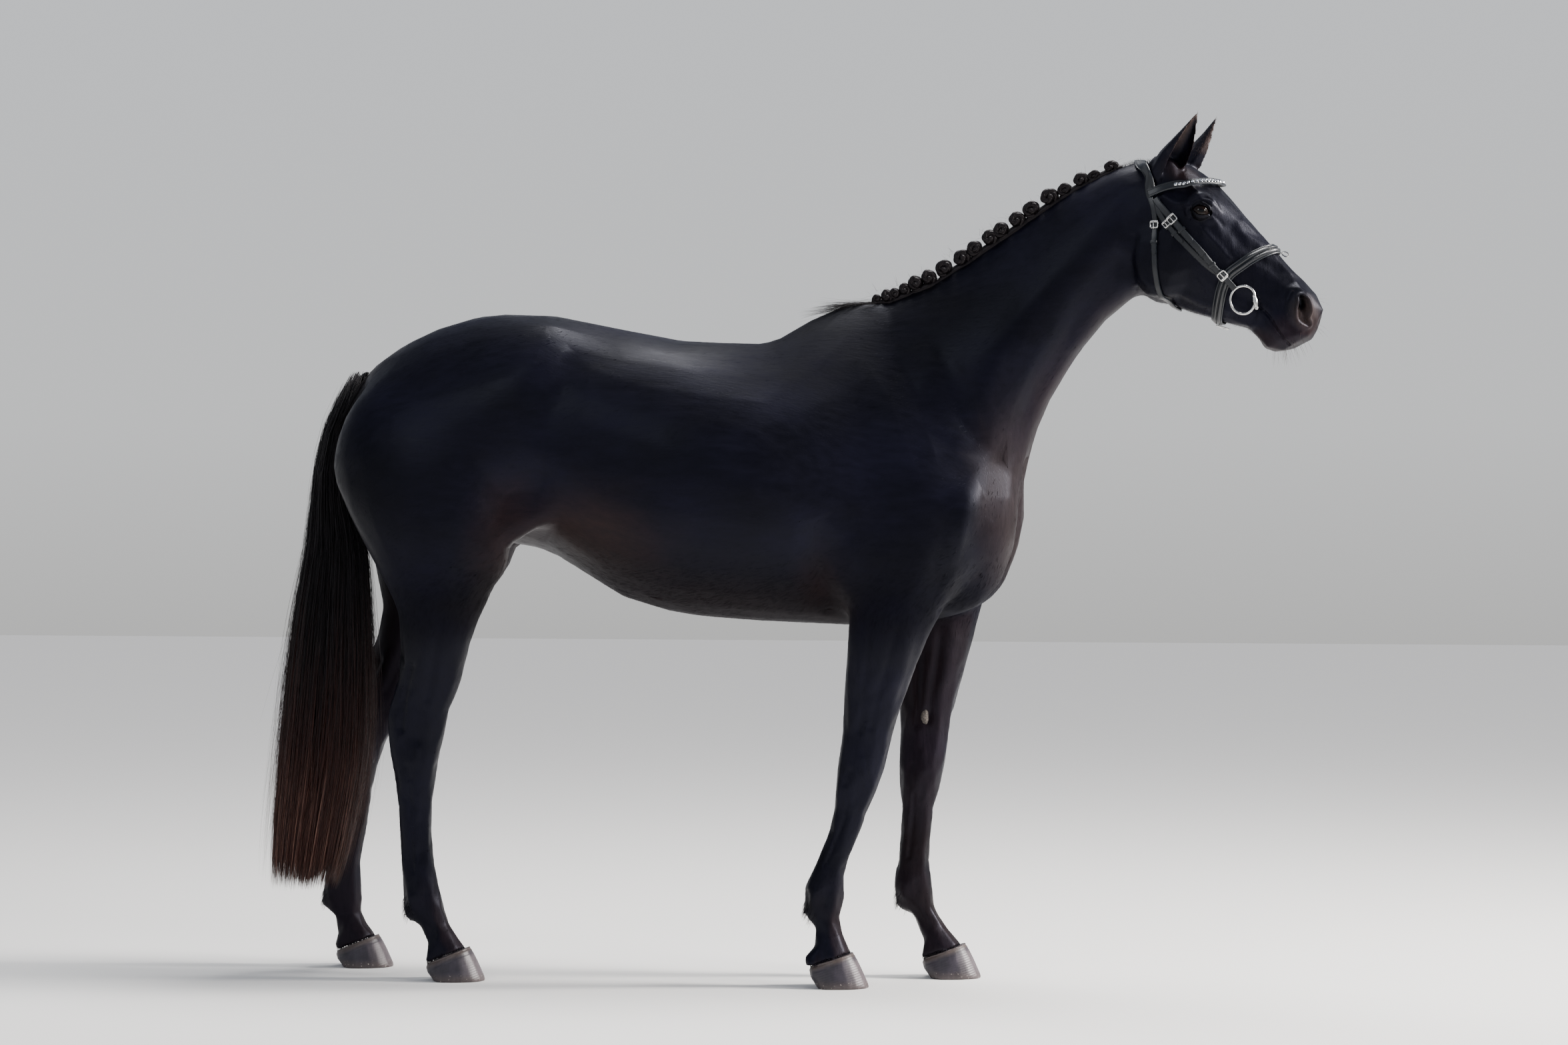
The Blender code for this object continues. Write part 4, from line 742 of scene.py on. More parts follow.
def model_forms(piece):
    """Draw every fold, groove, bone and vein on the skin."""
    tree = tree_of(piece)
    for points, reach, height in MIDDLE_FORMS:
        stroke(piece, [spot(*point) for point in points], reach, height)
    for side in (-1, 1):
        for points, reach, height in BODY_FORMS + FACE_FORMS:
            stroke(piece, dense(tree, points, side), reach, height)
    for leg in LEGS:
        side = side_of(leg)
        rows = rows_of(piece)
        for points, reach, height in FORE_FORMS if is_fore(leg) else HIND_FORMS:
            for face in (1, -1):
                route = []
                for share, z in points:
                    back, front, across = leg_reach(rows, leg, z)
                    x = back + (front - back) * share
                    start = Vector((x, across + 0.14 * face * side, z))
                    hit, _, _, _ = tree.ray_cast(start, Vector((0, -face * side, 0)))
                    route.append(hit if hit else start)
                stroke(piece, route, reach, height)
    eyes = [eye_frame(side)[0] + eye_frame(side)[3] * EYE_BALL for side in (-1, 1)]
    tree = tree_of(piece)
    noses = [on_side(tree, *NOSTRIL[2], side) for side in (-1, 1)]
    lips = [on_side(tree, x, z, side) for side in (-1, 1) for x, z in LIPS]
    for places, reach in ((eyes, 0.040), (eyes, 0.031), (noses, 0.034), (noses, 0.026), (lips, 0.012)):
        finer(piece, places, reach)
    tree = tree_of(piece)
    for side in (-1, 1):
        for points, reach, height in EYE_FORMS + MUZZLE_FORMS:
            stroke(piece, dense(tree, points, side), reach, height)
    for side in (-1, 1):
        lids(piece, side)
        nostril(piece, tree, side)


# -------- building shapes
def unit(rows):
    """Rows scaled to length one."""
    rows = np.asarray(rows, float)
    return rows / np.maximum(np.linalg.norm(rows, axis=-1, keepdims=True), 1e-12)


def evened(rows, rounds):
    """Rows smoothed along their own order, the ends kept."""
    rows = np.array(rows, float)
    for _ in range(rounds):
        rows[1:-1] = (rows[:-2] + 2 * rows[1:-1] + rows[2:]) / 4
    return rows


def spread(points, spacing):
    """Even samples along a smooth curve through the points."""
    curve = np.array(curve_through(np.array(points, float), 16))
    run = run_of(curve)
    at = np.linspace(0, run[-1], max(int(round(run[-1] / spacing)), 2) + 1)
    return np.stack([np.interp(at, run, curve[:, k]) for k in range(3)], 1)


def run_of(points):
    """How far along each point of a line is."""
    return np.concatenate([[0], np.cumsum(np.linalg.norm(np.diff(points, axis=0), axis=1))])


def axes_along(points, up, closed=False):
    """At each point of a line: the way it runs, the way across and the way out."""
    points = np.asarray(points, float)
    if closed:
        along = unit(np.roll(points, -1, axis=0) - np.roll(points, 1, axis=0))
    else:
        along = unit(np.gradient(points, axis=0))
    up = np.asarray(up, float)
    outs = np.empty_like(points)
    last = up if up.ndim == 1 else up[0]
    for i in range(len(points)):
        if up.ndim == 2:
            last = up[i]
        last = unit(last - along[i] * (last @ along[i]))
        outs[i] = last
    return along, np.cross(along, outs), outs


def around(count):
    """Even angles round a circle."""
    return 2 * np.pi * np.arange(count) / count


def squared(angles, power):
    """Cosines and sines of angles, pushed out towards a square by a power under one."""
    return [np.sign(part) * np.abs(part) ** power for part in (np.cos(angles), np.sin(angles))]


def lofted(rings, closed=False, lengths=None, shares=None):
    """Rows, faces and their own map for a skin over rings of points."""
    rings = np.asarray(rings, float)
    count, sides = rings.shape[:2]
    lengths = np.arange(count + 1) / count if lengths is None else lengths
    shares = np.arange(sides + 1) / sides if shares is None else shares
    faces, maps = [], []
    for i in range(count if closed else count - 1):
        k = (i + 1) % count
        for j in range(sides):
            m = (j + 1) % sides
            faces.append((i * sides + j, i * sides + m, k * sides + m, k * sides + j))
            low, high = lengths[i], lengths[i + 1]
            maps += [(low, shares[j]), (low, shares[j + 1]), (high, shares[j + 1]), (high, shares[j])]
    if not closed:
        for first, at in ((0, lengths[0]), ((count - 1) * sides, lengths[count - 1])):
            faces.append(tuple(range(first, first + sides)))
            maps += [(at, shares[j]) for j in range(sides)]
    return rings.reshape(-1, 3), faces, maps


def tube(points, radius, sides=8, up=(0, 0, 1), closed=False):
    """A round wire or strand along a line of points."""
    points = np.asarray(points, float)
    radius = np.broadcast_to(radius, len(points))[:, None, None]
    _, across, out = axes_along(points, up, closed)
    turn = around(sides)
    ring = across[:, None] * np.cos(turn)[:, None] + out[:, None] * np.sin(turn)[:, None]
    return lofted(points[:, None] + ring * radius, closed, run_of([*points, points[0]]))


def piece_of(name, shapes, paint, nodes=()):
    """One piece from several closed shapes, outside out, riding on the horse."""
    rows, faces, maps, first = [], [], [], 0
    for shape_rows, shape_faces, shape_maps in shapes:
        rows.append(shape_rows)
        faces += [tuple(i + first for i in face) for face in shape_faces]
        maps += shape_maps
        first += len(shape_rows)
    mesh = bpy.data.meshes.new(name)
    mesh.from_pydata(np.vstack(rows).tolist(), [], faces)
    layer = mesh.uv_layers.new(name="lie")
    layer.data.foreach_set("uv", np.array(maps, np.float32).ravel())
    piece = new_piece(name, mesh)
    settled(piece, paint, nodes)
    return piece


def settled(piece, paint, nodes=()):
    """Turn the faces outwards, shade them, and give the piece its finish and its place."""
    edited(piece, bpy.ops.mesh.normals_make_consistent, inside=False)
    bpy.ops.object.shade_smooth_by_angle(angle=math.radians(40))
    piece.data.materials.clear()
    piece.data.materials.append(paint)
    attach(piece, "root")
    if nodes:
        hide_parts(*nodes)


# -------- leather, steel and stones
LEATHER_BLACK = (0.0036, 0.0052, 0.0082)
# the lighter blue-grey along the strap edges
LEATHER_PALER_EDGE = (0.0160, 0.0210, 0.0280)


def leather(name, holes=None, stitched=True):
    """Black bridle leather: fine grain, a creased edge, a row of stitches, and punched holes."""
    paint, shader = blank(name)
    here = coordinates(paint)
    lie = node(paint.node_tree, "ShaderNodeUVMap", uv_map="lie")
    parts = node(paint.node_tree, "ShaderNodeSeparateXYZ")
    link(lie.outputs[0], parts.inputs[0])
    along, across = parts.outputs[0], reckoned("ABSOLUTE", parts.outputs[1], 0)
    grain = noise(here, 900, detail=3)
    mottle = noise(here, 60, detail=4)
    # lighter and bluer towards the edges, in a mottle
    edge = greys(across, 0.86)
    paler_edges = times(edge, times(mottle, 1.3))
    colour = mixed(paler_edges, LEATHER_BLACK, LEATHER_PALER_EDGE)
    height = times(grain, 0.25)
    if stitched:
        off_row = reckoned("ABSOLUTE", reckoned("SUBTRACT", across, 0.72), 0)
        row = reckoned("MAXIMUM", reckoned("SUBTRACT", 1, times(off_row, 22)), 0)
        beat = reckoned("SINE", times(along, 2 * math.pi / 0.0036), 0)
        thread = times(row, reckoned("GREATER_THAN", beat, -0.35))
        colour = mixed(times(thread, 0.55), colour, (0.040, 0.042, 0.048))
        height = plus(height, times(thread, 0.8))
    if holes:
        first, last, gap = holes
        squares = [reckoned("POWER", part, 2.0) for part in
                   (reckoned("PINGPONG", along, gap / 2), times(across, 0.0075))]
        hole = reckoned("LESS_THAN", reckoned("SQRT", plus(*squares), 0), 0.0019)
        hole = times(hole, reckoned("GREATER_THAN", along, first))
        hole = times(hole, reckoned("LESS_THAN", along, last))
        colour = mixed(hole, colour, (0.0006, 0.0006, 0.0007))
        height = reckoned("SUBTRACT", height, times(hole, 2.5))
    link(colour, shader.inputs["Base Color"])
    roughened(shader, mottle, 0.16, 0.27)
    preset(shader, Specular_IOR_Level=0.36, Coat_Weight=0.12, Coat_Roughness=0.22)
    bumped(shader, height, 0.5, 0.0006)
    return paint


def polished_steel():
    """Bright steel with fine rubbing marks and a little dulling."""
    paint, shader = blank("steel")
    here = coordinates(paint)
    marks = noise(here, 380, (1, 1, 4), 3)
    dull = noise(here, 55, detail=3)
    link(mixed(dull, (0.66, 0.66, 0.65), (0.50, 0.49, 0.47)), shader.inputs["Base Color"])
    roughened(shader, dull, 0.18, 0.12)
    preset(shader, Metallic=1.0)
    bumped(shader, marks, 0.12, 0.0002)
    return paint


def cut_glass():
    """Foil-backed glass stones, the foil lighter and darker in spots as painted glints."""
    paint, shader = blank("crystal")
    painted_glints = noise(coordinates(paint), 160, detail=2)
    # painted glints: the foil's colour varies in spots from grey to near white
    base = ramp(painted_glints, ((0.35, (0.30, 0.33, 0.38)), (0.62, (0.92, 0.94, 0.97))))
    link(base, shader.inputs["Base Color"])
    preset(shader, Metallic=0.85, Roughness=0.07, Coat_Weight=1.0, Coat_Roughness=0.03)
    return paint


# -------- bridle
# Across a strap, from edge to edge and back underneath: place, height
FLAT = ((-1, 0.25), (-0.97, 0.75), (-0.9, 0.98), (-0.84, 1), (-0.8, 0.9), (-0.76, 1), (-0.35, 1.04),
        (0.35, 1.04), (0.76, 1), (0.8, 0.9), (0.84, 1), (0.9, 0.98), (0.97, 0.75), (1, 0.25), (0.96, 0),
        (-0.96, 0))
PADDED = ((-1, 0.25), (-0.98, 0.62), (-0.9, 0.84), (-0.8, 0.84), (-0.74, 0.66), (-0.66, 1.05),
          (-0.48, 1.62), (-0.3, 1.8), (-0.12, 1.5), (-0.02, 0.9), (0.04, 0.9), (0.14, 1.42),
          (0.32, 1.72), (0.5, 1.5), (0.66, 1), (0.74, 0.66), (0.8, 0.84), (0.9, 0.84), (0.98, 0.62),
          (1, 0.25), (0.96, 0), (-0.96, 0))
BAND = ((-1, 0.25), (-0.97, 0.75), (-0.88, 1.1), (-0.7, 1.28), (-0.56, 1.14), (-0.5, 0.8), (0, 0.8),
        (0.5, 0.8), (0.56, 1.14), (0.7, 1.28), (0.88, 1.1), (0.97, 0.75), (1, 0.25), (0.96, 0),
        (-0.96, 0))
STRAP_THICK = 0.0034
BUCKLE_WIRE = 0.00165
SPACING = 0.0045                # from one ring of a strap's skin to the next

CHEEK_ROUTE = ((0.944, 0.1, 1.923), (0.963, 0.11, 1.899), (0.987, 0.11, 1.873), (1.022, 0.11, 1.833),
               (1.062, 0.1, 1.788), (1.092, 0.09, 1.75), (1.108, 0.08, 1.733))
BIT_ROUTE = ((1.108, 0.09, 1.734), (1.117, 0.09, 1.724), (1.137, 0.08, 1.7005))
NOSE_STRAP_ROUTE = ((0.94, 0.1, 1.912), (0.96, 0.1, 1.877), (0.972, 0.11, 1.862), (1.002, 0.11, 1.828),
    (1.04, 0.1, 1.787), (1.085, 0.09, 1.745), (1.104, 0.09, 1.735))
THROAT_ROUTE = ((0.926, 0.1, 1.935), (0.938, 0.1, 1.9), (0.942, 0.11, 1.86), (0.943, 0.11, 1.8),
                (0.946, 0.1, 1.74), (0.952, 0.085, 1.695), (0.962, 0.06, 1.664), (0.972, 0.03, 1.646),
                (0.976, 0, 1.64))
CROWN_ROUTE = ((0.934, 0.1, 1.93), (0.926, 0.1, 1.943), (0.912, 0.1, 1.972), (0.896, 0.08, 2.003),
               (0.887, 0.045, 2.03), (0.884, 0, 2.036))
BROW_ROUTE = ((0.926, 0.1, 1.938), (0.962, 0.1, 1.952), (0.996, 0.1, 1.961), (1.034, 0.09, 1.966),
              (1.066, 0.06, 1.965), (1.084, 0.03, 1.963), (1.09, 0, 1.962))
NOSE_ROUTE = ((1.224, 0, 1.8), (1.212, 0.03, 1.796), (1.184, 0.06, 1.782), (1.146, 0.075, 1.755),
              (1.12, 0.08, 1.733), (1.104, 0.075, 1.7), (1.092, 0.06, 1.662), (1.082, 0.03, 1.628),
              (1.078, 0, 1.612))
# The loose ends that lie over the straps below their buckles
TIP_ROUTES = {
    "cheek": (((0.983, 0.11, 1.879), (1.010, 0.11, 1.848), (1.040, 0.105, 1.813)), 0.0148, 0.0134),
    "nose": (((0.968, 0.11, 1.867), (0.990, 0.11, 1.842), (1.014, 0.11, 1.814)), 0.0128, 0.0064),
    "throat": (((0.942, 0.11, 1.868), (0.943, 0.11, 1.828), (0.9435, 0.11, 1.786)), 0.0118, 0.0074),
    "bit": (((1.116, 0.09, 1.724), (1.092, 0.09, 1.751), (1.066, 0.10, 1.784)), 0.0136, 0.0134),
}
# Loops that hold the ends down: which end, places along it
KEEPERS = (("cheek", 0.017), ("cheek", 0.044), ("nose", 0.016), ("nose", 0.040), ("throat", 0.018),
           ("throat", 0.050), ("bit", 0.020), ("bit", 0.047))
# Buckles of each side: which end, the way its strap runs, its size
BUCKLES = (("cheek", (0.66, 0, -0.75), (0.022, 0.025)), ("nose", (0.66, 0, -0.75), (0.018, 0.019)),
           ("throat", (0.03, 0, -1.0), (0.020, 0.022)), ("bit", (-0.66, 0, 0.75), (0.022, 0.025)))


def mirrored(route, side):
    """A route on one side, from one written for the left."""
    return [(x, y * side, z) for x, y, z in route]


def over(route):
    """A route that crosses the middle, from its left half."""
    half = route[::-1] if route[0][1] == 0 else route
    return list(half) + [(x, -y, z) for x, y, z in half[::-1][1:]]


def laid(route, tree, lift, taut=0):
    """A route laid over the head: its points, the way across and the way out."""
    spots = spread([spot(*point) for point in route], SPACING)
    found = [tree.find_nearest(Vector(point)) for point in spots]
    outs = unit(evened([hit[1] for hit in found], 14))
    middles = evened(np.array([hit[0] for hit in found]) + outs * lift, 4 + taut)
    _, across, outs = axes_along(middles, outs)
    return middles, across, outs


def strap(tree, route, width, lift, thick=STRAP_THICK, taut=0, profile=FLAT, pointed=False):
    """A strap laid over the head along a route, bent across its width as the head is."""
    middles, across, outs = laid(route, tree, lift, taut)
    half = width / 2
    lean = np.zeros((len(middles), 2))
    for k, share in enumerate((-1, 1)):
        for i, start in enumerate(middles + across * (share * half) + outs * 0.03):
            hit = tree.ray_cast(Vector(start), Vector(-outs[i]), 0.06)
            lean[i, k] = np.clip(0.03 + lift - hit[3], -0.0045, 0.0040) if hit[0] else 0
    lean = evened(lean, 12)
    shape = np.array(profile)
    run = run_of(middles)
    narrow = np.ones(len(middles))
    if pointed:
        left = np.clip((run[-1] - run) / (0.55 * width), 0, 1)
        narrow = np.maximum(np.sqrt(1 - (1 - left) ** 2), 0.10)
    place = shape[:, 0]
    base = (lean[:, 1:] - lean[:, :1]) / 2 * place + (lean[:, 1:] + lean[:, :1]) / 2 * place ** 2
    rings = middles[:, None] + across[:, None] * (place * half)[None, :, None] * narrow[:, None, None]
    rings = rings + outs[:, None] * (base + shape[:, 1] * thick)[..., None]
    return lofted(rings, False, np.append(run, run[-1]), np.append(place, place[0]))


def keeper(middle, along, across, out, width, high):
    """A small leather loop round a strap."""
    rings = []
    for angle in around(24):
        u, v = squared(angle, 0.45)
        foot = middle + across * (u * width / 2) + out * (high / 2 + v * high / 2)
        away = unit(across * (u * 0.6) + out * v)
        rings.append([foot + along * a + away * b for a, b in
                      ((-0.0035, 0), (-0.0033, 0.0013), (0, 0.0017), (0.0033, 0.0013), (0.0035, 0))])
    return lofted(rings, True)


def keeper_at(tree, end, distance, side):
    """A loop round one of the loose ends, this far along it."""
    route, width, lift = TIP_ROUTES[end]
    middles, across, outs = laid(mirrored(route, side), tree, lift)
    i = int(np.argmin(np.abs(run_of(middles) - distance)))
    along = unit(np.gradient(middles, axis=0))[i]
    return keeper(middles[i] - outs[i] * 0.0045, along, across[i], outs[i], width + 0.0040, 0.0080)


def frame_wire(middle, along, across, out, size):
    """A buckle: a rounded frame with its tongue and the bar that it hangs on."""
    u, v = squared(around(40), 0.36)
    arch = 0.10 * (1 - np.clip(np.abs(v), 0, 1) ** 2) * size[1]
    points = middle + np.outer(u * (size[0] / 2 - BUCKLE_WIRE), along) \
        + np.outer(v * (size[1] / 2 - BUCKLE_WIRE), across) + np.outer(arch * (u > 0) * np.abs(u), out)
    shapes = [tube(points, BUCKLE_WIRE, 8, out, True)]
    bar = [middle - along * size[0] * 0.30 + across * size[1] * w for w in (-0.46, 0.46)]
    shapes.append(tube(bar, BUCKLE_WIRE * 0.9, 8, out))
    pin = [middle + along * size[0] * at + out * BUCKLE_WIRE * high
           for at, high in ((-0.34, 1.2), (-0.1, 2.0), (0.3, 2.1), (0.5, 1.4))]
    shapes.append(tube(spread(pin, 0.002), BUCKLE_WIRE * 0.85, 8, across))
    return shapes


def bridle(tree):
    """Every strap, buckle, ring and stone of the bridle."""
    plain, holed = leather("leather"), leather("leather_holed", (0.022, 0.064, 0.0105))
    padded = leather("leather_padded", None, False)
    for name, node_name, route, paint, shape in (
            ("headpiece", "crownpiece", CROWN_ROUTE, plain, (0.026, 0.0040, STRAP_THICK, 30)),
            ("noseband_padded", "noseband", NOSE_ROUTE, padded, (0.028, 0.0034, 0.0040, 1, PADDED)),
            ("brow_strap", "browband", BROW_ROUTE, plain, (0.0205, 0.0095, 0.0036, 6, BAND)),
            ("throat_strap", "throatlash", THROAT_ROUTE, holed, (0.013, 0.0036))):
        piece_of(name, [strap(tree, over(route), *shape)], paint, [node_name])
    steel = polished_steel()
    browband_stones(tree)
    for label, side in SIDES.items():
        for name, node_name, route, paint, shape in (
                ("cheek_strap", "cheekpiece", CHEEK_ROUTE, holed, (0.016, 0.0096)),
                ("bit_billet", "bit_strap", BIT_ROUTE, plain, (0.015, 0.0092)),
                ("noseband_strap", "nose_strap", NOSE_STRAP_ROUTE, holed, (0.0135, 0.0024))):
            piece_of(f"{name}_{label}", [strap(tree, mirrored(route, side), *shape)], paint,
                     [f"{node_name}_{label}"])
        ends = [strap(tree, mirrored(route, side), width, lift, 0.0030, pointed=True)
                for route, width, lift in TIP_ROUTES.values()]
        piece_of(f"strap_ends_{label}", ends, plain)
        loops = [keeper_at(tree, end, distance, side) for end, distance in KEEPERS]
        piece_of(f"keepers_{label}", loops, plain)
        for end, along, size in BUCKLES:
            buckle_at(f"{end}_buckle_frame_{label}", f"{end}_buckle_{label}", tree, along, size, steel)
        piece_of(f"snaffle_{label}", bit(label, side), steel, [f"bit_ring_{label}"])
    buckle_at("chin_buckle", "noseband_buckle", tree, (0, 1, 0), (0.032, 0.034), steel)
    piece_of("flash_loop", flash_loop(), steel, ["flash_ring"])


def buckle_at(name, node_name, tree, along, size, paint):
    """A buckle where the frame has it, lying on the strap there."""
    middle = middle_of(node_name)
    _, normal, _, _ = tree.find_nearest(middle)
    out = unit(normal)
    start = spot(1, 0, 1.7)
    along = unit(spot(1 + along[0], along[1], 1.7 + along[2]) - start)
    along = unit(along - out * (along @ out))
    middle = np.array(middle) + out * 0.001
    piece_of(name, frame_wire(middle, along, np.cross(out, along), out, size), paint, [node_name])


def browband_stones(tree):
    """A row of square stones along the front of the browband, each in its own setting."""
    middles, across, outs = laid(over(BROW_ROUTE), tree, 0.0104, 6)
    run = run_of(middles)
    along = unit(np.gradient(middles, axis=0))
    stones, settings = [], []
    first, last = run[-1] * 0.16, run[-1] * 0.84
    for at in np.linspace(first, last, 30):
        middle, a, b, c = (np.array([np.interp(at, run, rows[:, k]) for k in range(3)])
                           for rows in (middles, along, across, outs))
        for shapes, reach, steps in ((settings, 0.0044, ((1.0, 0.0026), (1.0, 0.0036), (0.9, 0.0040))),
                                     (stones, 0.0036, ((1.0, 0.0036), (1.0, 0.0046), (0.62, 0.0062)))):
            rings = [[middle + a * (u * reach * w) + b * (v * reach * w) + c * high
                      for u, v in ((-1, -0.6), (-0.6, -1), (0.6, -1), (1, -0.6),
                                   (1, 0.6), (0.6, 1), (-0.6, 1), (-1, 0.6))] for w, high in steps]
            shapes.append(lofted(rings))
    piece = piece_of("browband_stones", stones, cut_glass())
    only(piece)
    bpy.ops.object.shade_flat()
    piece_of("stone_settings", settings, bpy.data.materials["steel"])


RING_REACH, RING_WIRE = 0.0315, 0.0033
# The turned barrel on the bit's ring: place along it, radius
BARREL = ((-0.019, 0.0034), (-0.017, 0.0048), (-0.0145, 0.005), (-0.0135, 0.0043), (-0.01, 0.005),
          (-0.004, 0.0064), (0.002, 0.0066), (0.008, 0.0056), (0.0125, 0.0044), (0.0135, 0.005),
          (0.016, 0.0048), (0.018, 0.0034))


def bit(label, side):
    """The bit's ring, the turned barrel on its front and the end of the mouthpiece."""
    middle = np.array(middle_of(f"bit_ring_{label}"))
    turn = -HEAD_TURN + math.radians(-4) * side
    ahead = np.array((math.cos(turn), math.sin(turn), 0))
    up = np.array((0.0, 0, 1))
    out = np.cross(ahead, up) * (1 if side < 0 else -1)
    angle = around(64)
    front = np.maximum(0, np.cos(angle + math.radians(12)))
    flat = 1 - 0.10 * front ** 2
    points = middle + np.outer(np.cos(angle) * RING_REACH * flat, ahead) \
        + np.outer(np.sin(angle) * RING_REACH * 1.07, up)
    shapes = [tube(points, RING_WIRE, 12, out, True)]
    lean = unit(ahead * -0.20 + up * 1.0)
    hub = middle + ahead * (RING_REACH * 0.93) - up * 0.006
    shapes.append(tube([hub - lean * at for at, _ in BARREL], [radius for _, radius in BARREL], 16, out))
    into = [hub, hub - out * 0.014 - ahead * 0.003, hub - out * 0.034 - ahead * 0.010]
    shapes.append(tube(spread(into, 0.004), 0.0058, 12, up))
    return shapes


def flash_loop():
    """The small flattened ring in front of the noseband."""
    middle = np.array(middle_of("flash_ring"))
    ahead = np.array((math.cos(HEAD_TURN), -math.sin(HEAD_TURN), 0))
    across = np.array((math.sin(HEAD_TURN), math.cos(HEAD_TURN), 0))
    slope = unit(ahead * 0.86 - np.array((0, 0, 0.35)))
    upward = np.cross(across, slope)
    angle = around(32)
    points = middle + np.outer(np.cos(angle) * 0.0085, slope) + np.outer(np.sin(angle) * 0.0052, upward)
    return [tube(points, 0.0015, 8, across, True)]


# -------- markings of the coat, with painted shade and painted highlights
def straightened(rows):
    """Points of the turned horse, carried back to the straight one."""
    back = np.array(rows, float)
    for _ in range(6):
        back += rows - placed(back)
    return back


def patch(rows, centre, radii):
    """One inside an ellipsoid, fading to nothing at twice its size."""
    far = np.linalg.norm((rows - np.array(centre)) / np.array(radii), axis=1)
    return 1 - step(far, 0.55, 1.6)


def both(rows, centre, radii):
    """The same patch on both sides."""
    x, y, z = centre
    return np.maximum(patch(rows, (x, y, z), radii), patch(rows, (x, -y, z), radii))


# Where the black coat thins to brown: place on the left side, size, strength
BROWN_PATCHES = (
    ((-0.46, 0.24, 1.06), (0.17, 0.14, 0.12), 0.60), ((-0.66, 0.16, 1.10), (0.10, 0.10, 0.14), 0.50),
    ((-0.30, 0.10, 0.93), (0.42, 0.16, 0.09), 0.40), ((0.12, 0.12, 0.97), (0.08, 0.10, 0.12), 0.45),
    ((0.57, 0.06, 1.20), (0.08, 0.14, 0.20), 0.34), ((0.66, 0.00, 1.44), (0.12, 0.07, 0.14), 0.30),
    ((0.80, 0.00, 1.62), (0.10, 0.05, 0.10), 0.22), ((1.31, 0.04, 1.625), (0.030, 0.040, 0.045), 0.46),
    ((1.26, 0.03, 1.60), (0.045, 0.040, 0.035), 0.26), ((1.20, 0.02, 1.575), (0.045, 0.035, 0.030), 0.30),
    ((1.02, 0.08, 2.00), (0.045, 0.04, 0.04), 0.34), ((-0.88, 0.04, 1.00), (0.12, 0.05, 0.20), 0.50),
    ((-1.02, 0.04, 1.36), (0.06, 0.05, 0.16), 0.40),
)
# Where the back is dull, written likewise
DULL_PATCHES = (((-0.43, 0.10, 1.60), (0.07, 0.16, 0.12), 0.60),
                ((0.02, 0.10, 1.56), (0.17, 0.16, 0.14), 0.80))


def tones(rows, normals):
    """How brown and pale the coat is at these places, and where shade and a highlight are painted into it.
    """
    flat = straightened(rows)
    brown, deep = np.zeros(len(rows)), np.zeros(len(rows))
    for centre, radii, strength in BROWN_PATCHES:
        brown = np.maximum(brown, strength * both(flat, centre, radii))
    x, y, z = rows.T
    low = 1 - step(z, 0.10, 0.30)
    # browner where the pasterns face forward
    brown = np.maximum(brown, low * 0.34 * step(normals[:, 0], -0.2, 0.7))
    inner = step(-normals[:, 1] * np.sign(y + 1e-9), 0.1, 0.8) * (1 - step(z, 0.9, 1.1))
    brown = np.maximum(brown, 0.22 * inner)
    # painted shade: the underside of the belly darkened
    under = (1 - step(z, 1.02, 1.16)) * step(z, 0.80, 0.88) * (np.abs(x + 0.2) < 0.6)
    deep = np.maximum(deep, 0.75 * under * step(-normals[:, 2], 0.15, 0.75))
    ears = step(flat[:, 2], 2.03, 2.06) * step(normals[:, 0], -0.30, 0.55)
    brown = np.maximum(brown, 0.85 * ears)
    # painted highlight: a pale patch on the front of the shoulder and breast; the ears' pale hair is their
    # own
    pale = np.maximum(0.05 * both(flat, (0.545, 0.115, 1.225), (0.060, 0.070, 0.120)), 0.16 * ears)
    for side in (-1, 1):
        middle, _, _, outward = (np.array(axis) for axis in eye_frame(side))
        near = np.linalg.norm(rows - middle - outward * 0.012, axis=1)
        inside = np.linalg.norm(rows - np.array(spot(1.285, side * 0.020, 1.668)), axis=1)
        nose = np.linalg.norm(rows - np.array(spot(1.303, side * 0.046, 1.650)), axis=1)
        # painted shade round the eye opening
        deep = np.maximum(deep, 1 - step(near, 0.022, 0.032))
        # painted shade inside the nostril
        deep = np.maximum(deep, 1 - step(inside, 0.016, 0.030))
        # pale muzzle, partly its own pale hair and partly painted sheen
        pale = np.maximum(pale, 0.12 * (1 - step(nose, 0.020, 0.050)))
    return colours_of(brown, pale * (1 - deep), deep)


def lies(rows):
    """Where the hair runs as on the legs, where as on the face, and where it is dull."""
    flat = straightened(rows)
    legs = 1 - step(rows[:, 2], 0.82, 1.00)
    legs = np.maximum(legs, step(flat[:, 0], 0.45, 0.60) * (1 - step(flat[:, 2], 1.20, 1.50)))
    face = step(flat[:, 0] + 0.55 * (flat[:, 2] - 1.85), 0.97, 1.06) * step(flat[:, 2], 1.50, 1.60)
    jaw = step(flat[:, 0], 0.88, 0.96) * step(flat[:, 2], 1.50, 1.60)
    legs = np.maximum(legs, jaw * (1 - face))
    under = (1 - step(rows[:, 2], 0.93, 1.10)) * step(rows[:, 2], 0.78, 0.90)
    for centre, radii, strength in DULL_PATCHES:
        under = np.maximum(under, strength * both(flat, centre, radii))
    return colours_of(legs, face, under)


def colours_of(*parts):
    """Colours with up to three parts, the rest of them nothing, and solid."""
    return np.stack(np.broadcast_arrays(*parts, *[0.0] * (3 - len(parts)), 1.0), -1)


def painted(piece, name, colours):
    """Give a piece a painted attribute, one colour to a vertex."""
    layer = piece.data.color_attributes.new(name, "FLOAT_COLOR", "POINT")
    layer.data.foreach_set("color", np.asarray(colours, np.float32).ravel())


def unwrapped(piece):
    """Unwrap the skin by its own shape."""
    piece.data.uv_layers.new(name="OFBake")
    edited(piece, bpy.ops.uv.smart_project, angle_limit=math.radians(70), island_margin=0.002)


